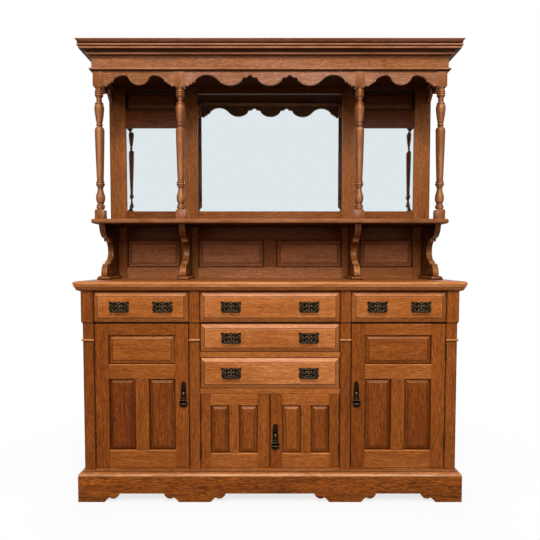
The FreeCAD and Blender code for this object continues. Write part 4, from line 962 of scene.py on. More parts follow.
@dataclass(frozen=True)
class Glazing:
    """Where the mirrors lie in the back, each as (across, up); the side one is the left one."""

    centre: tuple[Pair, Pair] = ((-396.0, 396.0), (1414.0, 2049.0))
    side: tuple[Pair, Pair] = ((-787.0, -494.0), (1414.0, 1867.0))


GLAZING = Glazing()


def box_mm(node: str) -> tuple[Array, Array]:
    """A node's low and high corners in millimetres."""
    low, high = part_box(node)
    return np.array(low) / MM, np.array(high) / MM


def fielded(across: Pair, up: Pair, face: float, bevel: float = 20.0, sunk: float = 3.0,
            step_shade: float = 0.8) -> Surface:
    """A panel whose edges slope up from its groove to a field with a small step round it.

    Args:
        across: low and high of the opening.
        up: low and high of the opening.
        face: depth of the frame's face.
        bevel: width of the slope.
        sunk: how far the field lies behind the face.
        step_shade: how dark the step round the field is.

    Returns:
        step_shade: how dark the painted shade at the step round the field is.
    """
    groove, lip = 13.0, 4.0
    # painted shade in the groove and at the step, painted light on the slopes by the way each faces
    rings = [(0, groove + 5, 0), (0, groove, -1), (2.2, groove - 0.6, -0.8),
             (lip, groove - 1.6, -0.1), (lip + (bevel - lip) / 2, (groove + sunk) / 2 + 0.3, 0),
             (bevel - 2.4, sunk + 2.7, -0.2 * step_shade), (bevel - 0.6, sunk + 1.9, -step_shade),
             (bevel + 0.4, sunk + 0.3, -0.7 * step_shade), (bevel + 1.8, sunk, 0.2), (bevel + 6, sunk, 0)]
    return stacked(ringed(across, up, face, rings), Plane.FRONT, 0.4,
                   sides=(0.06, -0.24, 0.55, -0.24), sloped=(3, 4, 5), fade=0.8)


def chamfered_rail(across: Pair, depth: Pair, up: Pair, chamfer: float = 4.4) -> Surface:
    """A rail whose upper front edge is planed off: its end section carried from side to side.

    Args:
        across: low and high along X.
        depth: low and high along Y.
        up: low and high along Z.
        chamfer: how far the planed edge goes back and down.

    Returns:
        The rail.
    """
    (front, back), (low, high) = depth, up
    # painted highlight on the chamfer, painted shade just behind it
    section = np.array([
        (front + 1, low, 0.0), (front, low + 1, 0.2), (front, high - chamfer - 1.6, 0.0),
        (front, high - chamfer, 0.8), (front + chamfer, high, 1.0),
        (front + chamfer + 2, high, -0.8), (back, high, 0.0), (back, low, 0.0)])
    ends = [np.column_stack([np.full(len(section), x), section[:, :2]]) for x in across]
    return Surface(np.vstack(ends), capped(2, len(section)), np.tile(section[:, 2], 2))


@dataclass
class Case:
    """The lower case: plinth, pilasters, ends, insides, rails, back and counter."""

    half: float = 881.0
    front: float = -244.0
    rear: float = 280.0
    pilaster: float = 52.0
    pilaster_depth: float = 40.0
    pilaster_bead: Pair = (763.0, 774.0)
    block_low: float = 858.0
    block_out: float = 6.0
    centre_half: float = 330.0
    side_bay: Pair = (-829.0, -382.0)
    plinth_height: float = 120.0
    plinth_out: float = 27.0
    plinth_thick: float = 38.0
    end_foot: float = 110.0
    end_front: float = -204.0
    end_reach: float = 877.0
    end_thick: float = 22.0
    end_stile: float = 72.0
    end_rails: Triple = (110.0, 70.0, 84.0)
    end_upper_panel: float = 150.0
    inside_half: float = 855.0
    inside_rear: float = 270.0
    partition: Pair = (-366.0, -346.0)
    cupboard_shelf: Pair = (490.0, 508.0)
    shelf_front: float = -144.0
    runner_lap: float = 14.0
    runner_thick: float = 20.0
    guide_height: float = 26.0
    planks: int = 9
    plank_gap: float = 0.8
    rail_depth: Pair = (-240.0, -195.0)
    sunk_depth: Pair = (-232.0, -187.0)
    drawer_rail: Pair = (846.0, 866.0)
    centre_rails: tuple[Pair, Pair] = ((686.0, 710.0), (512.0, 536.0))
    sill: Pair = (137.0, 157.0)
    opening_top: float = 1000.0
    counter_under: float = 1020.0
    counter_half: float = 915.0
    counter_seams: tuple[float, ...] = (-280.0, -92.0, 96.0, 280.0)
    nose_radius: float = 11.0

    ARCHES: ClassVar[Sequence[Pair]] = ((-783, -431.5), (-280.5, 280.5), (431.5, 783))
    ARCH_END: ClassVar[Steps] = (((-13, 14.5), (-24, 22.5)), ((-41, 16.5), (-58, 23)),
                                 ((-66.6, 31.5), (-71, 41)))
    PLINTH_SECTION: ClassVar[Steps] = (
        ((23.4, 0),), ((23.4, 2.4),), ((27, 3.4),), ((20.2, 16.6), (6.6, 22.8)), ((4.6, 23.2),),
        ((4.2, 26),), ((0, 26),))
    # painted light up the plinth moulding: painted shade in the recess at its foot and under its
    # top, a painted highlight on its round
    PLINTH_SHADING: ClassVar[Sequence[Pair]] = (
        (2.4, -0.9), (3.6, 0.0), (7, 0.9), (11, 0.7), (14, 0.0), (20, -0.15), (23, -0.9), (24, 0.2))
    BED_SECTION: ClassVar[Steps] = (
        ((5.0, 0),), ((5.0, 1.6),), ((8.6, 2.2),), ((15.4, 6.6), (18.6, 15.0)), ((21, 16.2),),
        ((21, 20),), ((0, 20),))
    # painted light up the bed moulding: darker low down, a painted highlight at its top
    BED_SHADING: ClassVar[Sequence[Pair]] = (
        (0, -0.35), (4, -0.4), (9, -0.35), (13, -0.1), (15.5, 0.3), (18, 0.9), (20, 0.9))
    # the nosing's foot: (how far in, height, value), painted shade in its groove, painted
    # highlights on its bead
    NOSE_FOOT: ClassVar[Rows] = (
        (17.0, 0.0, 0.0), (7.0, 0.0, 0.1), (3.6, 1.2, 0.4), (2.0, 4.0, 0.8), (2.6, 7.0, 0.4),
        (5.2, 8.4, -0.7), (5.2, 9.4, -0.6), (1.6, 10.4, 0.8), (0.2, 12.4, 1.0))

    def build(self) -> None:
        """Build and dress every piece of the case."""
        self.plinth()
        self.pilasters()
        self.ends()
        self.insides()
        self.slides()
        self.backs()
        self.rails()
        self.counter()

    def plinth_outline(self, half: float, arches: Sequence[Pair]) -> Array:
        """A plinth board: feet between cut-outs whose ends are a hollow, a small lobe and a rise.

        Args:
            half: half the board's length.
            arches: low and high of each cut-out.

        Returns:
            The outline.
        """
        tall, end = self.plinth_height, outline((0, 0), self.ARCH_END)
        points = [outline((-half, 0), [((-half, tall),), ((half, tall),), ((half, 0),)])]
        for low, high in reversed(arches):
            points += [end + np.array([high, 0]), flipped(end) + np.array([low, 0])]
        return np.vstack(points)

    def plinth(self) -> None:
        """The boards that the case stands on, and the moulding on top of them."""
        half, front = self.half + self.plinth_out, self.front - self.plinth_out
        thick, easing = self.plinth_thick, 2.0
        piece = Piece("plinth_boards", "case", ["plinth"], "oak")
        shape = self.plinth_outline(half, self.ARCHES)
        piece.add(sawn(shape, front, front + thick, Plane.FRONT, easing), tone=TONES.plinth)
        length = self.rear - front - thick
        arch = length / 2 - self.end_foot
        end = sawn(self.plinth_outline(length / 2, [(-arch, arch)]), 0, thick, Plane.FRONT, easing)
        end = end.moved(x=self.rear - length / 2).turned_out(-1, half)
        piece.both(end, Grain.Y, TONES.plinth)
        inside = half - thick
        piece.add(eased_board((-inside, inside), (self.rear - thick, self.rear),
                              (0, self.plinth_height)), tone=TONES.plinth_rear)
        piece.build(Finish.FIGURED)
        run = Piece("plinth_moulding_run", "case", ["plinth_moulding"], "oak")
        run.run(moulded(outline((0, 0), self.PLINTH_SECTION), self.half, self.front, self.rear,
                        self.plinth_height, self.PLINTH_SHADING), TONES.plinth_moulding)
        run.build(Finish.POLISHED)

    def pilasters(self) -> None:
        """Four pilasters: a shaft, a bead across it, and a chamfer up to a thicker block.

        The bead stands out by the root of sin(pi s) at a share s of its height.
        """
        piece = Piece("pilaster_shafts", "case", ["pilasters"], "oak")
        back, low, out = self.front + self.pilaster_depth, self.block_low, self.block_out
        half, (under, over) = self.pilaster / 2, self.pilaster_bead
        shares = 0.5 - 0.5 * np.cos(np.linspace(0, math.pi, 7))
        bead = [(under + share * (over - under), 6.4 * math.sin(math.pi * share) ** 0.5, 0.5)
                for share in shares]
        # painted shadow under the bead and under the block, a painted highlight on the bead and
        # where the chamfer meets the block, and painted shade along the shaft's edges
        shaft = [(self.plinth_height, 0.0, 0.0), (under - 6, 0.0, -0.1), (under - 4, 0.0, -0.95),
                 (under, 0.0, -1.0), (over, 0.0, -0.8), (over + 3, 0.0, 0.0), (low - 14, 0.0, 0.0),
                 (low - 11.5, 0.2, -0.6), (low - 4, out - 1.2, -0.4), (low - 0.6, out - 0.2, 0.0),
                 (low + 1.4, out, 0.7), (low + 5, out, 0.0), (self.counter_under, out, 0.0)]
        for middle, share in ((-self.half + half, 1.0), (-self.centre_half - half, 0.0)):
            for steps, corner, rim, grain, tone in (
                    (shaft, 1.8, -0.6, Grain.Z, TONES.pilaster),
                    (bead, 0.8, 0.0, Grain.X, TONES.bead)):
                levels = [(middle - half - step * share, middle + half, self.front - step, back,
                           z, wear_and_shade) for z, step, wear_and_shade in steps]
                piece.both(stacked(levels, Plane.TOP, corner, rim), grain, tone)
        piece.build(Finish.OAK)

    def ends(self) -> None:
        """Two panelled ends, drawn facing the front and turned outwards."""
        piece = Piece("panelled_ends", "case", ["case_ends"], "oak")
        low, high, (foot, middle, head) = self.plinth_height, self.counter_under, self.end_rails
        top = high - head
        under = top - self.end_upper_panel
        inside = (self.end_front + self.end_stile, self.rear - self.end_stile)
        boards = [((self.end_front, inside[0]), (low, high), Grain.Z),
                  ((inside[1], self.rear), (low, high), Grain.Z),
                  (inside, (low, low + foot), Grain.Y), (inside, (under - middle, under), Grain.Y),
                  (inside, (top, high), Grain.Y)]
        for across, up, way in boards:
            board = eased_board(across, (0, self.end_thick), up, 1.3)
            piece.both(board.turned_out(-1, self.end_reach), way, TONES.end)
        for up, way, tone in (((low + foot, under - middle), Grain.Z, TONES.end_panel),
                              ((under, top), Grain.Y, TONES.end_upper_panel)):
            piece.both(fielded(inside, up, 0).turned_out(-1, self.end_reach), way, tone)
        piece.build(Finish.OAK)

    def insides(self) -> None:
        """Floor, partitions and cupboard shelves in plain wood."""
        piece = Piece("case_insides", "case", ["inner_case"], "inside_wood")
        half, depth = self.inside_half, (self.end_front, self.inside_rear)
        piece.add(eased_board((-half, half), depth, self.sill))
        piece.both(eased_board(self.partition, depth, (self.sill[1], self.counter_under)), Grain.Z)
        piece.both(eased_board((-half, self.partition[0]), (self.shelf_front, self.inside_rear),
                               self.cupboard_shelf))
        piece.build(Finish.INSIDE)

    def slides(self) -> None:
        """Runners under the drawers, and guides beside them."""
        piece = Piece("drawer_slides", "case", ["drawer_runners"], "inside_wood")
        outer, inner = (-self.inside_half, self.side_bay[0]), (self.side_bay[1], self.partition[0])
        centre = (self.partition[1], -self.centre_half)
        top, sunk, start = self.drawer_rail[1], self.sunk_depth[1], self.rail_depth[1]
        rows = [(top, sunk, (outer, inner)), (top, sunk, (centre,))]
        rows += [(rail[1], start, (centre,)) for rail in self.centre_rails]
        for level, front, walls in rows:
            room = (front, self.inside_rear)
            rise, guide = (level - self.runner_thick, level), (level, level + self.guide_height)
            for low, high in walls:
                lap = (low, high + self.runner_lap)
                if (low, high) == inner:
                    lap = (low - self.runner_lap, high)
                piece.both(eased_board(lap, room, rise), Grain.Y)
                piece.both(eased_board((low, high), room, guide), Grain.Y)
        piece.build(Finish.INSIDE)

    def backs(self) -> None:
        """Upright boards behind the case, and one behind each mirror."""
        piece = Piece("back_planks", "case", ["back_boards"], "inside_wood")
        depth, pitch = (self.inside_rear, self.rear), 2 * self.inside_half / self.planks
        for number in range(self.planks):
            left = -self.inside_half + pitch * number
            piece.add(eased_board((left, left + pitch - self.plank_gap), depth,
                                  (self.plinth_height, self.counter_under)), Grain.Z, TONES.plank)
        across, up = GLAZING.centre
        piece.add(eased_board(across, depth, up), Grain.Z, TONES.plank)
        across, up = GLAZING.side
        piece.both(eased_board(across, depth, up), Grain.Z, TONES.plank)
        piece.build(Finish.INSIDE)

    def rails(self) -> None:
        """Rails above and below the drawers, and the sills under the doors."""
        piece = Piece("case_rails", "case", ["front_rails"], "oak")
        centre, edge = (-self.centre_half, self.centre_half), 1.0
        # the sunk rail's dark tone is painted shadow under the top drawers
        for depth, rise, tone in (
                (self.rail_depth, (self.opening_top, self.counter_under), TONES.sill),
                (self.sunk_depth, self.drawer_rail, TONES.sunk_rail),
                ((self.rail_depth[0], self.end_front), self.sill, TONES.sill)):
            piece.both(eased_board(self.side_bay, depth, rise, edge), tone=tone)
            piece.add(eased_board(centre, depth, rise, edge), tone=tone)
        for rise in self.centre_rails:
            piece.add(eased_board(centre, self.rail_depth, rise, edge), tone=TONES.rail)
        piece.build(Finish.OAK)

    def counter(self) -> None:
        """Three planks with a rounded nosing on the front and ends, and the moulding below.

        The nosing is a quarter circle above a groove and a bead, with a painted highlight on its
        round that fades where it turns to the top, and a darker top face.
        """
        piece = Piece("counter_planks", "case", ["counter"], "oak")
        low, half, radius = self.counter_under, self.counter_half, self.nose_radius
        nose = [*self.NOSE_FOOT]
        nose += [(radius - radius * math.cos(t), 15 + radius * math.sin(t), 0.8 - 0.85 * t)
                 for t in np.linspace(0, math.pi / 2, 7)]
        nose += [(radius + 7, 15 + radius, -0.42)]
        front, gap = self.counter_seams[0], 0.1
        for y0, y1 in zip(self.counter_seams, self.counter_seams[1:]):
            levels = [(-half + into, half - into, y0 + (into if y0 == front else gap), y1 - gap,
                       low + up, wear_and_shade) for into, up, wear_and_shade in nose]
            piece.add(stacked(levels, Plane.TOP, 0.1), tone=TONES.counter)
        piece.build(Finish.OAK)
        run = Piece("counter_moulding_run", "case", ["counter_moulding"], "oak")
        run.run(moulded(outline((0, 0), self.BED_SECTION, 7), self.half + self.block_out,
                        self.front - self.block_out, self.rear, self.opening_top, self.BED_SHADING),
                TONES.bed_moulding)
        run.build(Finish.OAK)


@dataclass
class DrawerPull:
    """A cast plate with scrolled relief, two posts and a swinging bail."""

    half: float = 47.5
    tall: float = 55.0
    post_at: float = 34.0
    reach: float = 12.0
    drop: float = 2.0
    bail_side: float = 41.5
    bail_down: float = -22.0
    bail_bend: float = 9.0

    POST: ClassVar[Steps] = (((7.2, 2.6),), ((4.4, 4.2), (4.1, 7.5)), ((6.0, 12), (4.3, 15.6)),
                             ((2.4, 16.6), (0, 16.8)))

    def plate(self) -> Surface:
        """The plate: horned top corners, scalloped edges, and scrollwork.

        Each scroll is a ridge at a fixed distance from its middle, higher on one side, with a
        boss inside it.

        Returns:
            The plate.
        """
        column, row = (part.ravel() for part in np.meshgrid(np.arange(5), np.arange(5)))
        scrolls = np.column_stack([
            10.2 * column + 5.1 * (row % 2) + 1.4 * np.sin(3 * row + 2 * column),
            10.4 * row - 20.8 + 1.2 * np.sin(5 * column + row),
            4.0 + 0.9 * np.sin(2 * column + 3 * row)])

        def width(u: Array, v: Array) -> Array:
            """Across: the sides are waved, and drawn in at the foot."""
            waves = 0.985 - 0.035 * np.cos(v * math.pi * 2)
            return u * self.half * (waves - 0.05 * np.clip(-v - 0.6, 0, 1))

        def height(u: Array, v: Array) -> Array:
            """Up: between a waved foot and a waved top with horns."""
            top = self.tall * (0.445 + 0.022 * np.cos(u * math.pi * 4) + 0.07 * np.abs(u) ** 12)
            foot = self.tall * (-0.475 + 0.014 * np.cos(u * math.pi * 6) + 0.04 * np.abs(u) ** 6)
            return foot + (top - foot) * (v + 1) / 2

        def lift(u: Array, v: Array) -> Array:
            """Out: the highest scroll or the rim, fading to nothing at the edge."""
            across, up = np.abs(u) * self.half, v * self.tall / 2
            x, z, size = (column[:, None, None] for column in scrolls.T)
            far = np.hypot(across - x, up - z)
            swirl = 0.55 + 0.45 * np.cos(np.arctan2(up - z, across - x) - 0.7 * x)
            ridge = np.exp(-((far - size) / 1.3) ** 2) * swirl + 0.9 * np.exp(-(far / 1.9) ** 2)
            edge = np.minimum(self.half * (1 - np.abs(u)), self.tall / 2 * (1 - np.abs(v)))
            rim = 0.55 * np.exp(-((edge - 1.8) / 1.1) ** 2)
            return 0.7 + 2.7 * np.maximum(ridge.max(axis=0), rim) * np.clip(edge / 1.2, 0, 1)

        return relief(width, height, lift, 112, 64, 0.25)

    def post(self, side: int) -> Surface:
        """A turned post that holds the bail's pin.

        Args:
            side: -1 for the left post, 1 for the right.

        Returns:
            The post.
        """
        spun = lathe(outline((7.4, -0.4), self.POST, 6)[:-1], 24, Plane.FRONT).turned_round()
        return spun.moved(x=side * self.post_at, z=-self.drop)

    def bail(self) -> Surface:
        """The bail: arms down from the pins, round corners and a bar that swells at its middle.

        Returns:
            The bail.
        """
        side, down, bend = self.bail_side, self.bail_down, self.bail_bend
        half = outline((-30, 0), [
            ((-side + 2, 0),), ((-side + 0.6, -0.6), (-side, -2)), ((-side, down + bend),),
            ((-side + 2.9, down + 2.9), (-side + bend, down)), ((-20, down),), ((-8, down),),
            ((-4, down),), ((0, down),)], 7)
        path = np.vstack([half, flipped(half)[1:]])
        along = np.abs(path[:, 0]) / side
        thick = np.where(path[:, 1] > -1, 1.8, 2.0 + 0.8 * np.exp(-(along / 0.5) ** 2))
        return wire(path, thick).moved(y=-self.reach, z=-self.drop)


@dataclass
class Drawer:
    """A drawer: bevelled front, box, two pull plates and their bails."""

    name: str
    spacing: float
    tone: float
    pull: DrawerPull
    # painted highlight on the top slope of the front
    top_slope_highlight: float = 0.7
    bevel: float = 21.5
    rise: float = 5.0
    wall: float = 12.0
    floor: float = 8.0

    def build(self) -> None:
        """Build and dress the drawer's pieces."""
        low, high = box_mm(f"{self.name}_front")
        self.front(low, high)
        self.box()
        middle, level = (low[0] + high[0]) / 2, (low[2] + high[2]) / 2
        plates = Piece(f"{self.name}_pull_plates", self.name, [f"{self.name}_plates"], "bronze")
        for side, way in (("left", -1), ("right", 1)):
            spot = {"x": middle + way * self.spacing / 2, "y": low[1], "z": level}
            plates.add(self.pull.plate().moved(**spot))
            for post in (-1, 1):
                plates.add(self.pull.post(post).moved(**spot))
            node = f"{self.name}_{side}_bail"
            bail = Piece(f"{node}_wire", node, [node], "bronze")
            bail.add(self.pull.bail().moved(**spot))
            bail.build(Finish.BRONZE)
        plates.build(Finish.BRONZE)

    def front(self, low: Array, high: Array) -> None:
        """The front: square edges, a slope, and a field with a small step round it.

        Args:
            low: its low corner.
            high: its high corner.
        """
        edge, last = self.rise, self.bevel
        # painted shade at the edges and at the step round the field
        rings = [(1.2, 20, 0), (0.6, 19.2, -0.5), (0.6, edge + 6.2, -0.7), (1.4, edge + 4.8, -0.3),
                 (4, edge + 3.6, -0.14), (last - 3, 3.0, -0.2), (last - 1, 2.3, -0.9),
                 (last + 0.2, 0.5, -0.7), (last + 1.6, 0, 0.4), (last + 6, 0, 0)]
        levels = ringed((low[0], high[0]), (low[2], high[2]), low[1], rings)
        piece = Piece(f"{self.name}_front_board", self.name, [f"{self.name}_front"], "oak")
        # painted light on the slopes: the top one lighter, the others darker
        piece.add(stacked(levels, Plane.FRONT, 0.5, sides=(-0.06, -0.16, self.top_slope_highlight, -0.16),
                          sloped=(4, 5), fade=0.8), tone=self.tone)
        piece.build(Finish.OAK)

    def box(self) -> None:
        """Sides, tail and bottom behind the front."""
        low, high = box_mm(f"{self.name}_box")
        piece = Piece(f"{self.name}_box_boards", self.name, [f"{self.name}_box"], "inside_wood")
        depth, rise = (low[1], high[1]), (low[2], high[2])
        inside, tail = (low[0] + self.wall, high[0] - self.wall), high[1] - self.wall
        piece.add(eased_board((low[0], inside[0]), depth, rise), Grain.Y)
        piece.add(eased_board((inside[1], high[0]), depth, rise), Grain.Y)
        piece.add(eased_board(inside, (tail, high[1]), rise))
        piece.add(eased_board(inside, (low[1], tail), (low[2], low[2] + self.floor)),
                  tone=TONES.drawer_floor)
        piece.build(Finish.INSIDE)


@dataclass
class DropHandle:
    """A narrow cast plate with a drop that hangs from its post."""

    half: float = 14.0
    tall: float = 45.0
    pivot: float = -34.0
    reach: float = 12.0
    bell_middle: float = -19.0
    bell_tall: float = 22.5
    bell_half: float = 20.0
    bell_back: float = 2.4
    pin_half: float = 16.0
    pin_radius: float = 2.6

    PLATE: ClassVar[Sequence[Pair]] = (
        (-1, 0.7), (-0.9, 0.96), (-0.7, 1.0), (-0.4, 1.0), (0.0, 1.0), (0.3, 0.92), (0.48, 0.84),
        (0.56, 0.8), (0.64, 0.86), (0.7, 0.94), (0.76, 0.84), (0.82, 0.6), (0.9, 0.5), (0.96, 0.36),
        (1, 0.14))
    BOSSES: ClassVar[Rows] = (
        (0, 37, 2.4), (8, 31, 2.2), (0, 29, 2.0), (5, 21, 2.4), (0, 13, 2.6), (8, 9, 2.2),
        (8, -8, 2.2), (8, -22, 2.2))
    POST: ClassVar[Steps] = (((7.6, 2.6),), ((5.2, 4.2), (4.8, 7.5)), ((6.6, 12), (4.8, 15.6)),
                             ((2.6, 16.6), (0.4, 16.8)))
    BELL: ClassVar[Sequence[Pair]] = (
        (-1, 0.14), (-0.94, 0.36), (-0.84, 0.52), (-0.72, 0.84), (-0.56, 0.96), (-0.4, 1.0),
        (-0.2, 0.98), (0.1, 0.92), (0.4, 0.84), (0.62, 0.66), (0.8, 0.62), (0.92, 0.72), (1, 0.66))

    def plate(self) -> Surface:
        """The plate: a finial with two ears over a long swelling, with scrolls and a tall bud.

        Returns:
            The plate.
        """
        def width(u: Array, v: Array) -> Array:
            """Across: the outline's width at each height."""
            return u * self.half * np.interp(v, *zip(*self.PLATE))

        def height(u: Array, v: Array) -> Array:
            """Up: even from foot to finial."""
            return v * self.tall

        def lift(u: Array, v: Array) -> Array:
            """Out: the highest of the scrolls, the ridge along the edge and the bud."""
            across, up = np.abs(width(u, v)), v * self.tall
            x, z, size = (column[:, None, None] for column in np.array(self.BOSSES).T)
            far = np.hypot(across - x, up - z)
            ridge = np.exp(-((far - size) / 0.9) ** 2) + 0.9 * np.exp(-(far / 1.3) ** 2)
            rim = 0.6 * np.exp(-((1 - np.abs(u)) / 0.16 - 1) ** 2)
            bud = 1.5 * np.exp(-((across / 3.0) ** 2 + ((up + 12) / 7.5) ** 2) ** 2)
            cast = np.maximum(np.maximum(0.8 * ridge.max(axis=0), rim), bud)
            return 0.8 + 2.3 * cast * np.clip((1 - np.abs(u)) / 0.08, 0, 1)

        return relief(width, height, lift, 40, 110, 0.42)

    def post(self) -> Surface:
        """The post that carries the drop.

        Returns:
            The post.
        """
        spun = lathe(outline((8.0, -0.4), self.POST, 6), 24, Plane.FRONT).turned_round()
        return spun.moved(z=self.pivot)

    def drop(self) -> list[Surface]:
        """The drop: a bell with rounded shoulders, a bright lip and a pointed foot, on a pin.

        Returns:
            The bell and the pin.
        """
        tall, half = self.bell_tall, self.bell_half

        def width(u: Array, v: Array) -> Array:
            """Across: the bell's width at each height."""
            return u * half * np.interp(v, *zip(*self.BELL))

        def height(u: Array, v: Array) -> Array:
            """Up: even from foot to head."""
            return self.bell_middle + v * tall

        def lift(u: Array, v: Array) -> Array:
            """Out: the highest of the dashes at the head, the shoulders and the lip."""
            side = (1 - np.abs(u)) * half * np.interp(v, *zip(*self.BELL))
            edge = np.minimum(side, (1 - np.abs(v)) * tall)
            dashes = 0.9 * np.exp(-((v - 0.9) / 0.08) ** 2) * np.clip(np.abs(u) * 4, 0, 1)
            round_top = np.exp(-((v - 0.46 + 0.1 * u ** 2) / 0.1) ** 2)
            shoulders = round_top * (0.6 + 0.4 * np.cos(u * 8.4))
            low_edge = np.exp(-((v + 0.36 - 0.06 * np.cos(u * 9)) / 0.09) ** 2)
            lip = (0.85 + 0.2 * np.cos(u * 5)) * low_edge
            cast = np.maximum(np.maximum(dashes, shoulders), lip)
            return 1.2 + 3.6 * cast * np.clip(edge / 1.6, 0.1, 1)

        path = np.column_stack([np.linspace(-self.pin_half, self.pin_half, 9), np.zeros(9)])
        pin = wire(path, np.full(len(path), self.pin_radius))
        bell = relief(width, height, lift, 48, 64, 0.62)
        return [part.moved(y=back - self.reach, z=self.pivot)
                for part, back in ((bell, self.bell_back), (pin, 0.0))]


@dataclass
class PanelFrame:
    """Stiles and rails round fielded panels, drawn facing the front."""

    piece: Piece
    depth: Pair
    mirror: bool
    edge: float = 1.3

    def member(self, across: Pair, up: Pair, upright: bool, tone: float) -> None:
        """Add a stile, with painted shade along its edges, or a rail, with its edges lighter from
        rubbing.
        """
        board = eased_board(across, self.depth, up, self.edge, -0.85 if upright else 0.4)
        self.piece.add(board, Grain.Z if upright else Grain.X, tone, self.mirror)

    def ledge(self, across: Pair, up: Pair, tone: float) -> None:
        """Add a rail under a panel."""
        self.piece.add(chamfered_rail(across, self.depth, up), Grain.X, tone, self.mirror)

    def panel(self, across: Pair, up: Pair, upright: bool, tone: float) -> None:
        """Add a fielded panel."""
        board = fielded(across, up, self.depth[0], step_shade=0.5 if upright else 0.8)
        self.piece.add(board, Grain.Z if upright else Grain.X, tone, self.mirror)


@dataclass(frozen=True)
class DoorPlan:
    """The sizes that doors of a kind share.

    Args:
        stiles: widths of the hanging and the closing stile.
        foot: height of the foot rail.
        head: height of the head rail.
        muntin: width of the upright between the tall panels.
        tone: how light or dark the door is.
        handle_height: height of the middle of its handle.
        upper_panel: height of its upper panel, if it has one.
        upper_rail: height of the rail under that panel.
    """

    stiles: Pair
    foot: float
    head: float
    muntin: float
    tone: float
    handle_height: float
    upper_panel: float = 0.0
    upper_rail: float = 0.0


SIDE_DOOR = DoorPlan((65.0, 65.0), 84.0, 53.0, 64.0, TONES.door, 528.0, 138.0, 70.0)
CENTRE_DOOR = DoorPlan((46.0, 58.0), 69.0, 53.0, 48.0, TONES.centre_door, 325.0)


@dataclass
class Door:
    """A panelled door on the left or right of the middle, drawn for the left."""

    name: str
    plan: DoorPlan
    mirror: bool
    handle: DropHandle | None
    hanging: float = -0.15
    closing: float = -0.10
    fielding: float = -0.24
    slack: float = 1.2

    def build(self) -> None:
        """Build the frame and panels, then the handle."""
        low, high = box_mm(self.name)
        plan, tone = self.plan, self.plan.tone
        across = (-high[0], -low[0]) if self.mirror else (low[0], high[0])
        tall = (low[2], high[2])
        piece = Piece(f"{self.name}_boards", self.name, [self.name], "oak")
        boards = PanelFrame(piece, (low[1], high[1]), self.mirror)
        inside = (across[0] + plan.stiles[0], across[1] - plan.stiles[1])
        foot, top = tall[0] + plan.foot, tall[1] - plan.head
        boards.member((across[0], inside[0]), tall, True, tone + self.hanging)
        boards.member((inside[1], across[1] - self.slack), tall, True, tone + self.closing)
        boards.ledge(inside, (tall[0], foot), tone + 0.05)
        boards.member(inside, (top, tall[1]), False, tone)
        if plan.upper_panel:
            boards.panel(inside, (top - plan.upper_panel, top), False, tone + 0.04)
            top -= plan.upper_panel + plan.upper_rail
            boards.ledge(inside, (top, top + plan.upper_rail), tone + 0.03)
        middle = sum(inside) / 2
        muntin = (middle - plan.muntin / 2, middle + plan.muntin / 2)
        boards.member(muntin, (foot, top), True, tone - 0.09)
        for panel in ((inside[0], muntin[0]), (muntin[1], inside[1])):
            boards.panel(panel, (foot, top), True, tone + self.fielding)
        piece.build(Finish.OAK)
        if self.handle:
            self.hang_handle()

    def hang_handle(self) -> None:
        """Fix the plate to the door and hang the drop on it."""
        node = f"{self.name}_handle_plate"
        low, high = box_mm(node)
        spot = {"x": (low[0] + high[0]) / 2, "y": high[1], "z": self.plan.handle_height}
        plate = Piece(f"{self.name}_handle_cast", self.name, [node], "bronze")
        plate.add(self.handle.plate().moved(**spot))
        plate.add(self.handle.post().moved(**spot))
        plate.build(Finish.BRONZE)
        node = f"{self.name}_drop"
        drop = Piece(f"{node}_wire", node, [node], "bronze")
        for part in self.handle.drop():
            drop.add(part.moved(**spot))
        drop.build(Finish.BRONZE)


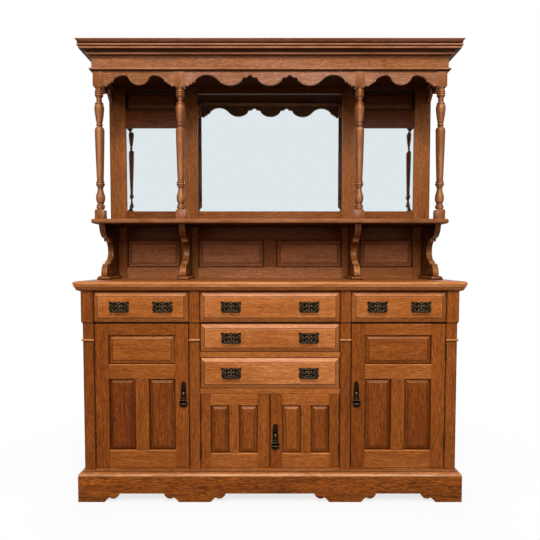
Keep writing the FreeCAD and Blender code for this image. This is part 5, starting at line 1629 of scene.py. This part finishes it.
@dataclass
class Hutch:
    """The upper part: panelled back with mirrors, brackets, shelf and turned posts."""

    half: float = 875.0
    rear: float = 280.0
    face: float = 250.0
    head: float = 2190.0
    counter: float = 1046.0
    low_panel: Pair = (1106.0, 1259.0)
    high_panel: Pair = (1962.0, 2067.0)
    muntin_half: float = 33.0
    rebate: float = 9.0
    mirror_bevel: float = 22.0
    bracket_half: float = 14.5
    bracket_foot: float = 19.0
    foot_half: float = 30.0
    foot_front: float = -18.0
    shelf_low: float = 1326.0
    shelf_top: float = 1350.0
    shelf_ends: float = 8.0
    shelf_nose: float = 16.0
    shelf_radius: float = 9.0
    posts_at: Pair = (-846.0, -444.0)
    post_front: float = -63.0
    post_half: float = 24.0

    # painted shade up the back: the stiles darken towards the canopy, the rail under the shelf
    # towards the shelf
    STILE_SHADE: ClassVar[Sequence[Pair]] = (
        (1690, 0.0), (1880, -0.02), (1960, -0.06), (2025, -0.28), (2068, -0.66))
    RAIL_SHADE: ClassVar[Sequence[Pair]] = (
        (1259, -0.3), (1262, -0.2), (1288, -0.42), (1308, -0.66), (1324, -0.85), (1340, -0.6),
        (1356, -0.26), (1412, -0.2), (1414, 0.2))
    BEAD: ClassVar[Sequence[Pair]] = ((0, 9.6), (0, 0.4), (0.8, -1.4), (2.6, -2.3), (4.4, -1.5),
                                      (5.4, 0.8), (6.0, 4.4), (6.2, 9.6))
    SCROLL: ClassVar[Steps] = (
        ((-8, 234), (56, 212)), ((56, 209),), ((56, 196),), ((64, 196),), ((130, 146), (80, 96)),
        ((72, 96),), ((72, 93),), ((72, 80),), ((14, 68), (-3, 38)))
    # painted light up the scroll: painted highlights on the noses, painted shade under them and
    # towards the shelf
    SCROLL_SHADING: ClassVar[Sequence[Pair]] = (
        (19, -0.5), (26, 0.1), (60, 0.3), (72, -0.2), (80, -0.3), (81, 0.7), (94, 0.7), (96, -0.4),
        (110, 0.0), (140, 0.3), (165, -0.1), (185, -0.8), (195, -0.9), (196, 0.8), (209, 0.8),
        (213, -0.5), (235, -0.4), (260, -0.2), (280, -0.7))
    # a bracket foot's steps: (how far in, height, value), painted shade at its foot, a painted
    # highlight on its top edge
    BRACKET_FOOT: ClassVar[Rows] = (
        (0.8, 0.0, -1.0), (0.0, 1.4, -1.0), (0.0, 4.0, -0.8), (0.0, 8.0, 0.1), (0.6, 11.5, 0.9),
        (3.0, 14.5, 0.4), (6.0, 16.8, -0.5), (8.0, 19.0, -0.9))
    POST: ClassVar[Steps] = (
        ((17.6, 53),), ((21.6, 58), (17.2, 63)), ((20.8, 67.5), (16.8, 72)), ((15.2, 75), (16, 79)),
        ((22.4, 100), (19.4, 124)), ((14.5, 143), (13.5, 158)), ((18.4, 162), (16.2, 166)),
        ((22.6, 173), (16.8, 180)), ((20.2, 184.5), (16.4, 189)), ((16.4, 191),), ((16.6, 196),),
        ((20.9, 315), (23.7, 434)), ((22.2, 445), (12.6, 456)), ((12.6, 460),),
        ((16.4, 465.5), (13.4, 471)), ((14.4, 474),), ((20.2, 508), (23.6, 540)),
        ((23.2, 554), (18.6, 566)), ((20.4, 567),), ((20.4, 570.5),), ((14.8, 576), (13.5, 587)),
        ((14.4, 596), (17, 603)), ((21.2, 608), (17, 613)), ((21.2, 618), (17, 623)),
        ((21.2, 628), (17, 633)), ((18, 643),))
    # the blocks' steps: (how far in, height, value), painted highlights on their chamfers, a little
    # painted shade at the foot
    POST_FOOT: ClassVar[Rows] = (
        (0.6, 0.0, -0.4), (0.0, 0.8, 0.0), (0.0, 42.0, -0.05), (0.8, 43.4, 0.7), (5.2, 48.9, 0.0))
    POST_CROWN: ClassVar[Rows] = (
        (5.2, 643.1, 0.2), (0.8, 648.6, 0.9), (0.0, 650.0, 0.2), (0.0, 717.9, 0.2))

    def build(self) -> None:
        """Build and dress every piece of the hutch."""
        self.back()
        self.mirrors()
        self.brackets()
        self.shelf()
        self.posts()

    def back(self) -> None:
        """Stiles, rails and panels of the back, with a small moulding planted round each panel."""
        piece = Piece("back_frame_boards", "case", ["back_frame"], "oak")
        panels = Piece("back_frame_panels", "case", ["back_panels"], "oak")
        depth, side, centre = (self.face, self.rear), GLAZING.side[0], GLAZING.centre[0]
        # painted shade on the stiles: a dark band at the counter, darkening up under the canopy,
        # and along their edges
        stile_shading = ((self.counter, -0.3), (self.counter + 5, 0.0), *self.STILE_SHADE,
                 (self.head, -0.75))
        for across in ((-self.half, side[0]), (side[1], centre[0])):
            levels = [(*across, *depth, z, wear_and_shade) for z, wear_and_shade in stile_shading]
            piece.both(stacked(levels, Plane.TOP, 0.8, -0.5), Grain.Z, TONES.back)
        foot_rail = (self.counter, self.low_panel[0])
        piece.both(eased_board(side, depth, foot_rail), tone=TONES.side_foot_rail)
        piece.add(eased_board(centre, depth, foot_rail), tone=TONES.foot_rail)
        # painted shade on the rails under the shelf, in their values and their dark tone
        side_rail, centre_rail = (
            stacked([(*across, *depth, z, wear_and_shade) for z, wear_and_shade in self.RAIL_SHADE], Plane.TOP, 0.8)
            for across in (side, centre))
        piece.both(side_rail, tone=TONES.back_rail)
        piece.add(centre_rail, tone=TONES.back_rail)
        # the back's top boards and upper panels get a dark tone: painted shade under the canopy
        piece.add(eased_board(centre, depth, (GLAZING.centre[1][1], self.head)),
                  tone=TONES.back_top)
        for up in ((GLAZING.side[1][1], self.high_panel[0]), (self.high_panel[1], self.head)):
            piece.both(eased_board(side, depth, up), tone=TONES.back_top)
        piece.add(eased_board((-self.muntin_half, self.muntin_half), depth, self.low_panel),
                  Grain.Z, TONES.back)
        # painted shade on the moulding round each panel
        bead = [(into, self.face + out) for into, out in self.BEAD]
        for across, up, tone in (
                (side, self.low_panel, TONES.back_panel),
                ((centre[0], -self.muntin_half), self.low_panel, TONES.back_centre_panel),
                (side, self.high_panel, TONES.back_top)):
            panels.both(fielded(across, up, self.face, 26.0, 4.0), tone=tone)
            panels.both(carried(across, up, bead, Plane.FRONT), tone=tone + TONES.panel_bead)
        piece.build(Finish.BROWN)
        panels.build(Finish.BROWN)

    def mirrors(self) -> None:
        """Three plates of glass, each with a bevelled rim."""
        piece = Piece("mirror_plates", "case", ["mirrors"], "mirror_glass")
        edge, bevel = self.face + self.rebate, self.mirror_bevel
        rings = ((0.3, 6, 0.0), (0.3, 0, 0.0), (bevel, -1.2, 0.0), (bevel + 0.6, -1.22, 0.0))
        piece.add(stacked(ringed(*GLAZING.centre, edge, rings), Plane.FRONT, 0.05))
        piece.both(stacked(ringed(*GLAZING.side, edge, rings), Plane.FRONT, 0.05))
        piece.build(Finish.MIRROR)

    def brackets(self) -> None:
        """Four scrolled brackets, each on a foot with a moulded edge."""
        piece = Piece("scroll_brackets", "case", ["brackets"], "oak")
        top, foot, back = self.shelf_low - self.counter, self.bracket_foot, self.face
        scroll = outline((back, top), [((-30, top),), *self.SCROLL, ((-3, foot),),
                                       ((back, foot),)], 12)
        # painted shade on each bracket's side faces, less on the outer face of the outer one
        for at, dark in zip(self.posts_at, (0.1, 0.65)):
            board = sawn(scroll, at - self.bracket_half, at + self.bracket_half, Plane.SIDE, 2.2,
                         (dark, 0.65), 0.9, self.SCROLL_SHADING)
            piece.both(board.moved(z=self.counter), Grain.Z, TONES.bracket)
            left, right = at - self.foot_half, at + self.foot_half
            levels = [(left + into, right - into, self.foot_front + into, back, self.counter + up,
                       wear_and_shade) for into, up, wear_and_shade in self.BRACKET_FOOT]
            piece.both(stacked(levels, Plane.TOP, 0.8), Grain.Y, TONES.bracket_foot)
        piece.build(Finish.POLISHED)

    def shelf(self) -> None:
        """The shelf board with a rounded edge on its front and ends.

        The edge is two quarter circles with a short upright between them, with painted shade on its
        underside and a painted highlight on the upper round.
        """
        piece = Piece("shelf_plank", "case", ["shelf"], "oak")
        low, high, radius = self.shelf_low, self.shelf_top, self.shelf_radius
        half, front = self.half + self.shelf_ends, self.post_front - self.shelf_nose
        turn = np.linspace(0, math.pi / 2, 6)
        nose = [(radius - radius * math.sin(t), low + radius - radius * math.cos(t), 1.3 * t - 0.9)
                for t in turn]
        nose += [(radius - radius * math.cos(t), high - radius + radius * math.sin(t), 0.8)
                 for t in turn]
        nose = [(nose[0][0] + 7, low, -0.9), *nose, (nose[-1][0] + 7, high, 0.0)]
        levels = [(-half + into, half - into, front + into, self.face, z, wear_and_shade)
                  for into, z, wear_and_shade in nose]
        piece.add(stacked(levels, Plane.TOP, 0.3), tone=TONES.shelf)
        piece.build(Finish.DUSKY)

    def posts(self) -> None:
        """Four turned posts with square blocks at head and foot."""
        piece = Piece("turned_posts", "case", ["posts"], "oak")
        # painted highlight strip down each post's front, painted shade on its sides
        turning = lathe(outline((18, 49), self.POST), rub_and_light=1.15)
        half, depth = self.post_half, self.post_front + self.post_half
        for at in self.posts_at:
            piece.both(turning.moved(at, depth, self.shelf_top), Grain.Z, TONES.post)
            for rings in (self.POST_FOOT, self.POST_CROWN):
                levels = ringed((at - half, at + half), (depth - half, depth + half),
                                self.shelf_top, rings)
                piece.both(stacked(levels, Plane.TOP, 1.2), Grain.Z, TONES.post)
        piece.build(Finish.TURNED)


@dataclass
class Canopy:
    """Valances, frieze, cornice and the boards that close the top."""

    half: float = 875.0
    front: float = -65.0
    rear: float = 280.0
    face: float = 250.0
    post_top: float = 2068.0
    head: float = 2190.0
    board: float = 22.0
    valance_back: float = 5.0
    valance_thick: float = 18.0
    valance_easing: float = 2.0
    valance_drop: float = -67.0
    side_middle: float = -645.0
    apron_start: float = 50.0
    apron_back: float = 4.0
    ceiling: Pair = (17.0, 29.0)
    dust_board: float = 12.0
    cornice_over: float = 16.0
    cornice_height: float = 75.0

    BEAD: ClassVar[Steps] = (((4, 2.5),), ((4, 4),), ((10.4, 10), (4, 16)), ((2.4, 17),),
                             ((0, 17),))
    # painted light up the frieze bead: painted shade at its foot and top, painted highlights on its
    # round
    BEAD_SHADING: ClassVar[Sequence[Pair]] = (
        (2.5, -1.0), (7, -0.8), (9.5, 0.5), (13, 0.6), (16, 0.0), (17, -0.6))
    CORNICE: ClassVar[Steps] = (
        ((2.6, 0),), ((2.6, 2.4),), ((4.4, 7.2), (9, 9.6)), ((8.2, 11.2),), ((12.4, 11.2),),
        ((21.6, 16), (19.4, 22.6)), ((17.4, 24.4),), ((21.5, 24.6),), ((27, 28.6), (37, 29.2)),
        ((35.8, 30.6),), ((40.4, 30.8),), ((48.8, 35.8), (44.8, 41.4)), ((42.4, 43.4),),
        ((45.6, 43.8),), ((54.2, 48.6), (50.2, 53)), ((47.4, 54.6),), ((51.4, 55),),
        ((53.4, 64), (58.2, 71)), ((60, 71.8),), ((60, 74),), ((59, 75),), ((0, 75),))
    # painted light up the cornice: painted highlights on the rounds, painted shade in the coves and
    # quirks
    CORNICE_SHADING: ClassVar[Sequence[Pair]] = (
        (0, 0.0), (6, 0.1), (9, -0.2), (11, -0.6), (12.4, 0.2), (15, 1.0), (21, 1.0), (23.6, -0.6),
        (26, -0.75), (29, -0.5), (30.6, -0.9), (32, 0.5), (36, 1.0), (40, 0.8), (42.6, -0.9),
        (44.6, 0.5), (48, 1.0), (52, 0.8), (54.6, -1.0), (60.5, -0.9), (64, -0.4), (68, 0.3),
        (72, 0.5), (75, 0.3))

    def build(self) -> None:
        """Build and dress every piece of the canopy."""
        self.valances()
        self.frieze()
        self.boards()
        self.cornice()

    def valance_outline(self, half: float, lobe: float, foot: float, crowned: bool) -> Array:
        """A valance hanging from zero: a stepped ear, an arch and a lobe on either side.

        Args:
            half: half its width.
            lobe: half the width of its lobes.
            foot: how low the middle lobe hangs.
            crowned: whether it has three lobes with small crowns between them.

        Returns:
            The outline.
        """
        drop, low, step = self.valance_drop, -40.0 if crowned else -25.0, half - 53
        edge = [((half, drop),), ((half - 8, drop),)]
        for into in (8, 23, 38):
            here, end = drop + 10 * (into - 8) / 15, half - into - 15
            edge += [((half - into - 11, here - 0.4), (end, here + 7)), ((end, here + 10),)]
        if crowned:
            notch, outer, level = lobe + 40, lobe + 80, -26.0
            far = outer + 2 * lobe
            edge += [(((step + far) / 2 + 4, -13), (far, low)),
                     ((outer + lobe, foot), (outer, low)),
                     ((outer - 4, -30.2), (outer - 16, level)), ((notch + 15, level),),
                     ((notch, level + 11), (notch - 15, level)), ((lobe + 16, level),),
                     ((lobe + 4, -30.2), (lobe, low))]
        else:
            peak = lobe + 0.42 * (step - lobe)
            edge += [(((step + peak) / 2, -22.5), (peak, -17)),
                     ((0.55 * lobe + 0.45 * peak, -17.5), (lobe, low))]
        right = outline((half, 0), edge)
        middle = arc_through((lobe, low), (0, foot), (-lobe, low), 14)
        return np.vstack([right, middle[:-1], flipped(right)])

    def valance(self, shape: Array, near: float) -> Surface:
        """A valance board whose face lies at a depth, with painted shade on its back face, hung
        from the posts' top.
        """
        board = sawn(shape, near, near + self.valance_thick, Plane.FRONT, self.valance_easing,
                     (0.0, 0.8))
        return board.moved(z=self.post_top)

    def valances(self) -> None:
        """The shaped boards between the posts and at the ends."""
        piece = Piece("shaped_valances", "case", ["valances"], "oak")
        near = self.front + self.valance_back
        centre = self.valance(self.valance_outline(420, 58, -65, True), near)
        piece.add(centre, tone=TONES.valance)
        side = self.valance(self.valance_outline(177, 53, -63, False), near)
        piece.both(side.moved(x=self.side_middle), tone=TONES.side_valance)
        run = (self.face - (self.front + self.apron_start)) / 2
        apron = self.valance(self.valance_outline(run, 40, -57, False), 0)
        apron = apron.moved(x=self.face - run).turned_out(-1, self.half - self.apron_back)
        piece.both(apron, Grain.Y, TONES.end_valance)
        piece.build(Finish.PALE_SHEEN)

    def frieze(self) -> None:
        """The frieze boards and the bead round their foot."""
        piece = Piece("frieze_boards", "case", ["frieze"], "oak")
        half, rise, inside = self.half, (self.post_top, self.head), self.front + self.board
        piece.add(eased_board((-half, half), (self.front, inside), rise), tone=TONES.frieze)
        piece.both(eased_board((-half, self.board - half), (inside, self.face), rise), Grain.Y,
                   TONES.frieze)
        piece.run(moulded(outline((0, 2.5), self.BEAD, 10), half, self.front, self.rear,
                          self.post_top, self.BEAD_SHADING), TONES.frieze)
        piece.build(Finish.PALE_SHEEN)

    def boards(self) -> None:
        """The ceiling inside the frieze, with a dark tone as painted shade, and the dust board on
        top.
        """
        piece = Piece("canopy_planks", "case", ["canopy_boards"], "oak")
        inside, low, high = self.half - self.board, *self.ceiling
        piece.add(eased_board((-inside, inside), (self.front + self.board, self.face),
                              (self.post_top + low, self.post_top + high)),
                  tone=TONES.canopy_ceiling)
        piece.add(eased_board((-self.half, self.half), (self.front, self.rear),
                              (self.head, self.head + self.dust_board)), tone=TONES.dust_board)
        piece.build(Finish.SHADED)

    def cornice(self) -> None:
        """The cornice: coves and beads that step out to a sloped fascia."""
        piece = Piece("cornice_lengths", "case", ["cornice"], "oak")
        foot = self.head + self.cornice_over - self.cornice_height
        piece.run(moulded(outline((0, 0), self.CORNICE, 7), self.half, self.front, self.rear, foot,
                          self.CORNICE_SHADING), TONES.cornice)
        piece.build(Finish.DUSKY)


@dataclass
class Studio:
    """Pale floor, soft light, white surroundings and the camera."""

    camera_at: Triple = (0.0, -2.98, 1.1359)
    tilt: float = 3.1
    focal: float = 584.4
    frame_width: float = 540.0
    sensor: float = 36.0
    lower: float = 23.65
    floor_half: float = 14.0

    # name, place, target, size, power, lights matt things, is seen in glossy ones
    LAMPS: ClassVar[Sequence[tuple]] = (
        ("upper_lamp", (0.0, -4.5, 5.2), (0.0, 0.0, 1.2), (2.6, 1.9), 335.0, True, False),
        ("reflector", (0.0, -5.6, 4.9), (0.0, 0.0, 1.2), (3.2, 1.4), 420.0, False, True),
        ("lower_lamp", (0.0, -5.2, 3.3), (0.0, 0.0, 1.2), (3.0, 1.4), 92.0, True, False),
        ("left_lamp", (-4.6, -0.4, 2.8), (-0.9, 0.0, 1.0), (2.2, 2.2), 55.0, True, False),
        ("right_lamp", (4.6, -0.4, 2.8), (0.9, 0.0, 1.0), (2.2, 2.2), 55.0, True, False),
        ("rear_lamp", (0.0, 4.4, 3.4), (0.0, 0.0, 1.0), (3.0, 3.0), 110.0, True, False))

    def build(self) -> None:
        """Set up everything round the object."""
        bpy.context.scene.view_settings.view_transform = "Standard"
        self.surroundings()
        self.floor()
        self.lamps()
        self.camera()

    def surroundings(self) -> None:
        """A soft grey world that looks white to the camera and in the mirrors."""
        bench = NodeBench(bpy.data.worlds.new("surroundings"))
        soft = bench.add("Background", {"Color": (1.0, 0.98, 0.95, 1.0), "Strength": 0.06})
        white = bench.add("Background", {"Color": (1.0, 1.0, 1.0, 1.0)})
        mix = bench.add("MixShader", {0: bench.seen(), 1: soft.outputs[0], 2: white.outputs[0]})
        bpy.context.scene.world = bench.finish(mix)

    def floor(self) -> None:
        """A wide pale floor that keeps a soft shadow."""
        bench = NodeBench(bpy.data.materials.new("pale_floor"))
        clear = bench.ramp(bench.length(bench.place()), 0.9, 2.0, 0.78, 1.0)
        matt = bench.add("BsdfDiffuse", {"Color": (0.26, 0.25, 0.24, 1.0)})
        pale = bench.add("BsdfDiffuse", {"Color": (0.92, 0.92, 0.92, 1.0)})
        glow = bench.add("Emission", {"Color": (1.0, 1.0, 1.0, 1.0), "Strength": 1.0})
        plain = bench.add("MixShader", {0: clear, 1: pale.outputs[0], 2: glow.outputs[0]})
        mix = bench.add("MixShader", {0: bench.seen(), 1: matt.outputs[0], 2: plain.outputs[0]})
        mesh = bpy.data.meshes.new("studio_floor")
        far = self.floor_half
        mesh.from_pydata([(-far, -far, 0), (far, -far, 0), (far, far, 0), (-far, far, 0)], [],
                         [(0, 1, 2, 3)])
        mesh.materials.append(bench.finish(mix))
        ground = bpy.data.objects.new("studio_floor", mesh)
        bpy.context.scene.collection.objects.link(ground)

    def lamps(self) -> None:
        """A broad light above the camera, a soft reflector, and weaker lights all round."""
        for name, spot, target, size, power, matt, glossy in self.LAMPS:
            light = bpy.data.lights.new(name, "AREA")
            light.shape, light.energy = "RECTANGLE", power
            light.size, light.size_y = size
            lamp = bpy.data.objects.new(name, light)
            lamp.location = spot
            lamp.visible_diffuse, lamp.visible_glossy = matt, glossy
            aim = np.array(target) - np.array(spot)
            rise = math.atan2(aim[2], math.hypot(aim[0], aim[1]))
            turn = math.atan2(aim[1], aim[0])
            lamp.rotation_euler = (math.pi / 2 + rise, 0.0, turn - math.pi / 2)
            bpy.context.scene.collection.objects.link(lamp)

    def camera(self) -> None:
        """The camera at the photograph's height, distance, tilt and framing."""
        data = bpy.data.cameras.new("view_camera")
        data.sensor_width = self.sensor
        data.lens = self.sensor * self.focal / self.frame_width
        data.shift_y = self.lower / self.frame_width
        data.clip_end = 60.0
        camera = bpy.data.objects.new("view_camera", data)
        camera.location = self.camera_at
        camera.rotation_euler = (math.radians(90 - self.tilt), 0.0, 0.0)
        bpy.context.scene.collection.objects.link(camera)
        bpy.context.scene.camera = camera


def dress_hinges() -> None:
    """Give the hinge leaves, which keep their solid shapes, their metal."""
    for name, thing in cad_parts.items():
        if "hinge" in name:
            for place in thing.material_slots:
                place.material = Finish.HINGE.material
            log.info("%s: dressed", name)


def main() -> None:
    """Build the sideboard from the floor up, then the studio."""
    logging.basicConfig(level=logging.INFO, format="%(message)s")
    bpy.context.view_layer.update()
    Case().build()
    pull, handle = DrawerPull(), DropHandle()
    narrow, wide = 204.0, 366.0
    Drawer("left_drawer", narrow, TONES.side_drawer, pull).build()
    Drawer("centre_drawer", wide, TONES.drawer, pull).build()
    Drawer("right_drawer", narrow, TONES.side_drawer, pull).build()
    Drawer("middle_drawer", wide, TONES.drawer, pull, top_slope_highlight=0.25).build()
    Drawer("lower_drawer", wide, TONES.drawer, pull).build()
    Door("left_door", SIDE_DOOR, False, handle).build()
    Door("right_door", SIDE_DOOR, True, handle).build()
    Door("centre_left_door", CENTRE_DOOR, False, None, closing=-0.18, fielding=-0.16).build()
    Door("centre_right_door", CENTRE_DOOR, True, handle, closing=-0.2, fielding=-0.08).build()
    Hutch().build()
    Canopy().build()
    dress_hinges()
    Studio().build()


if __name__ == "__main__":
    main()
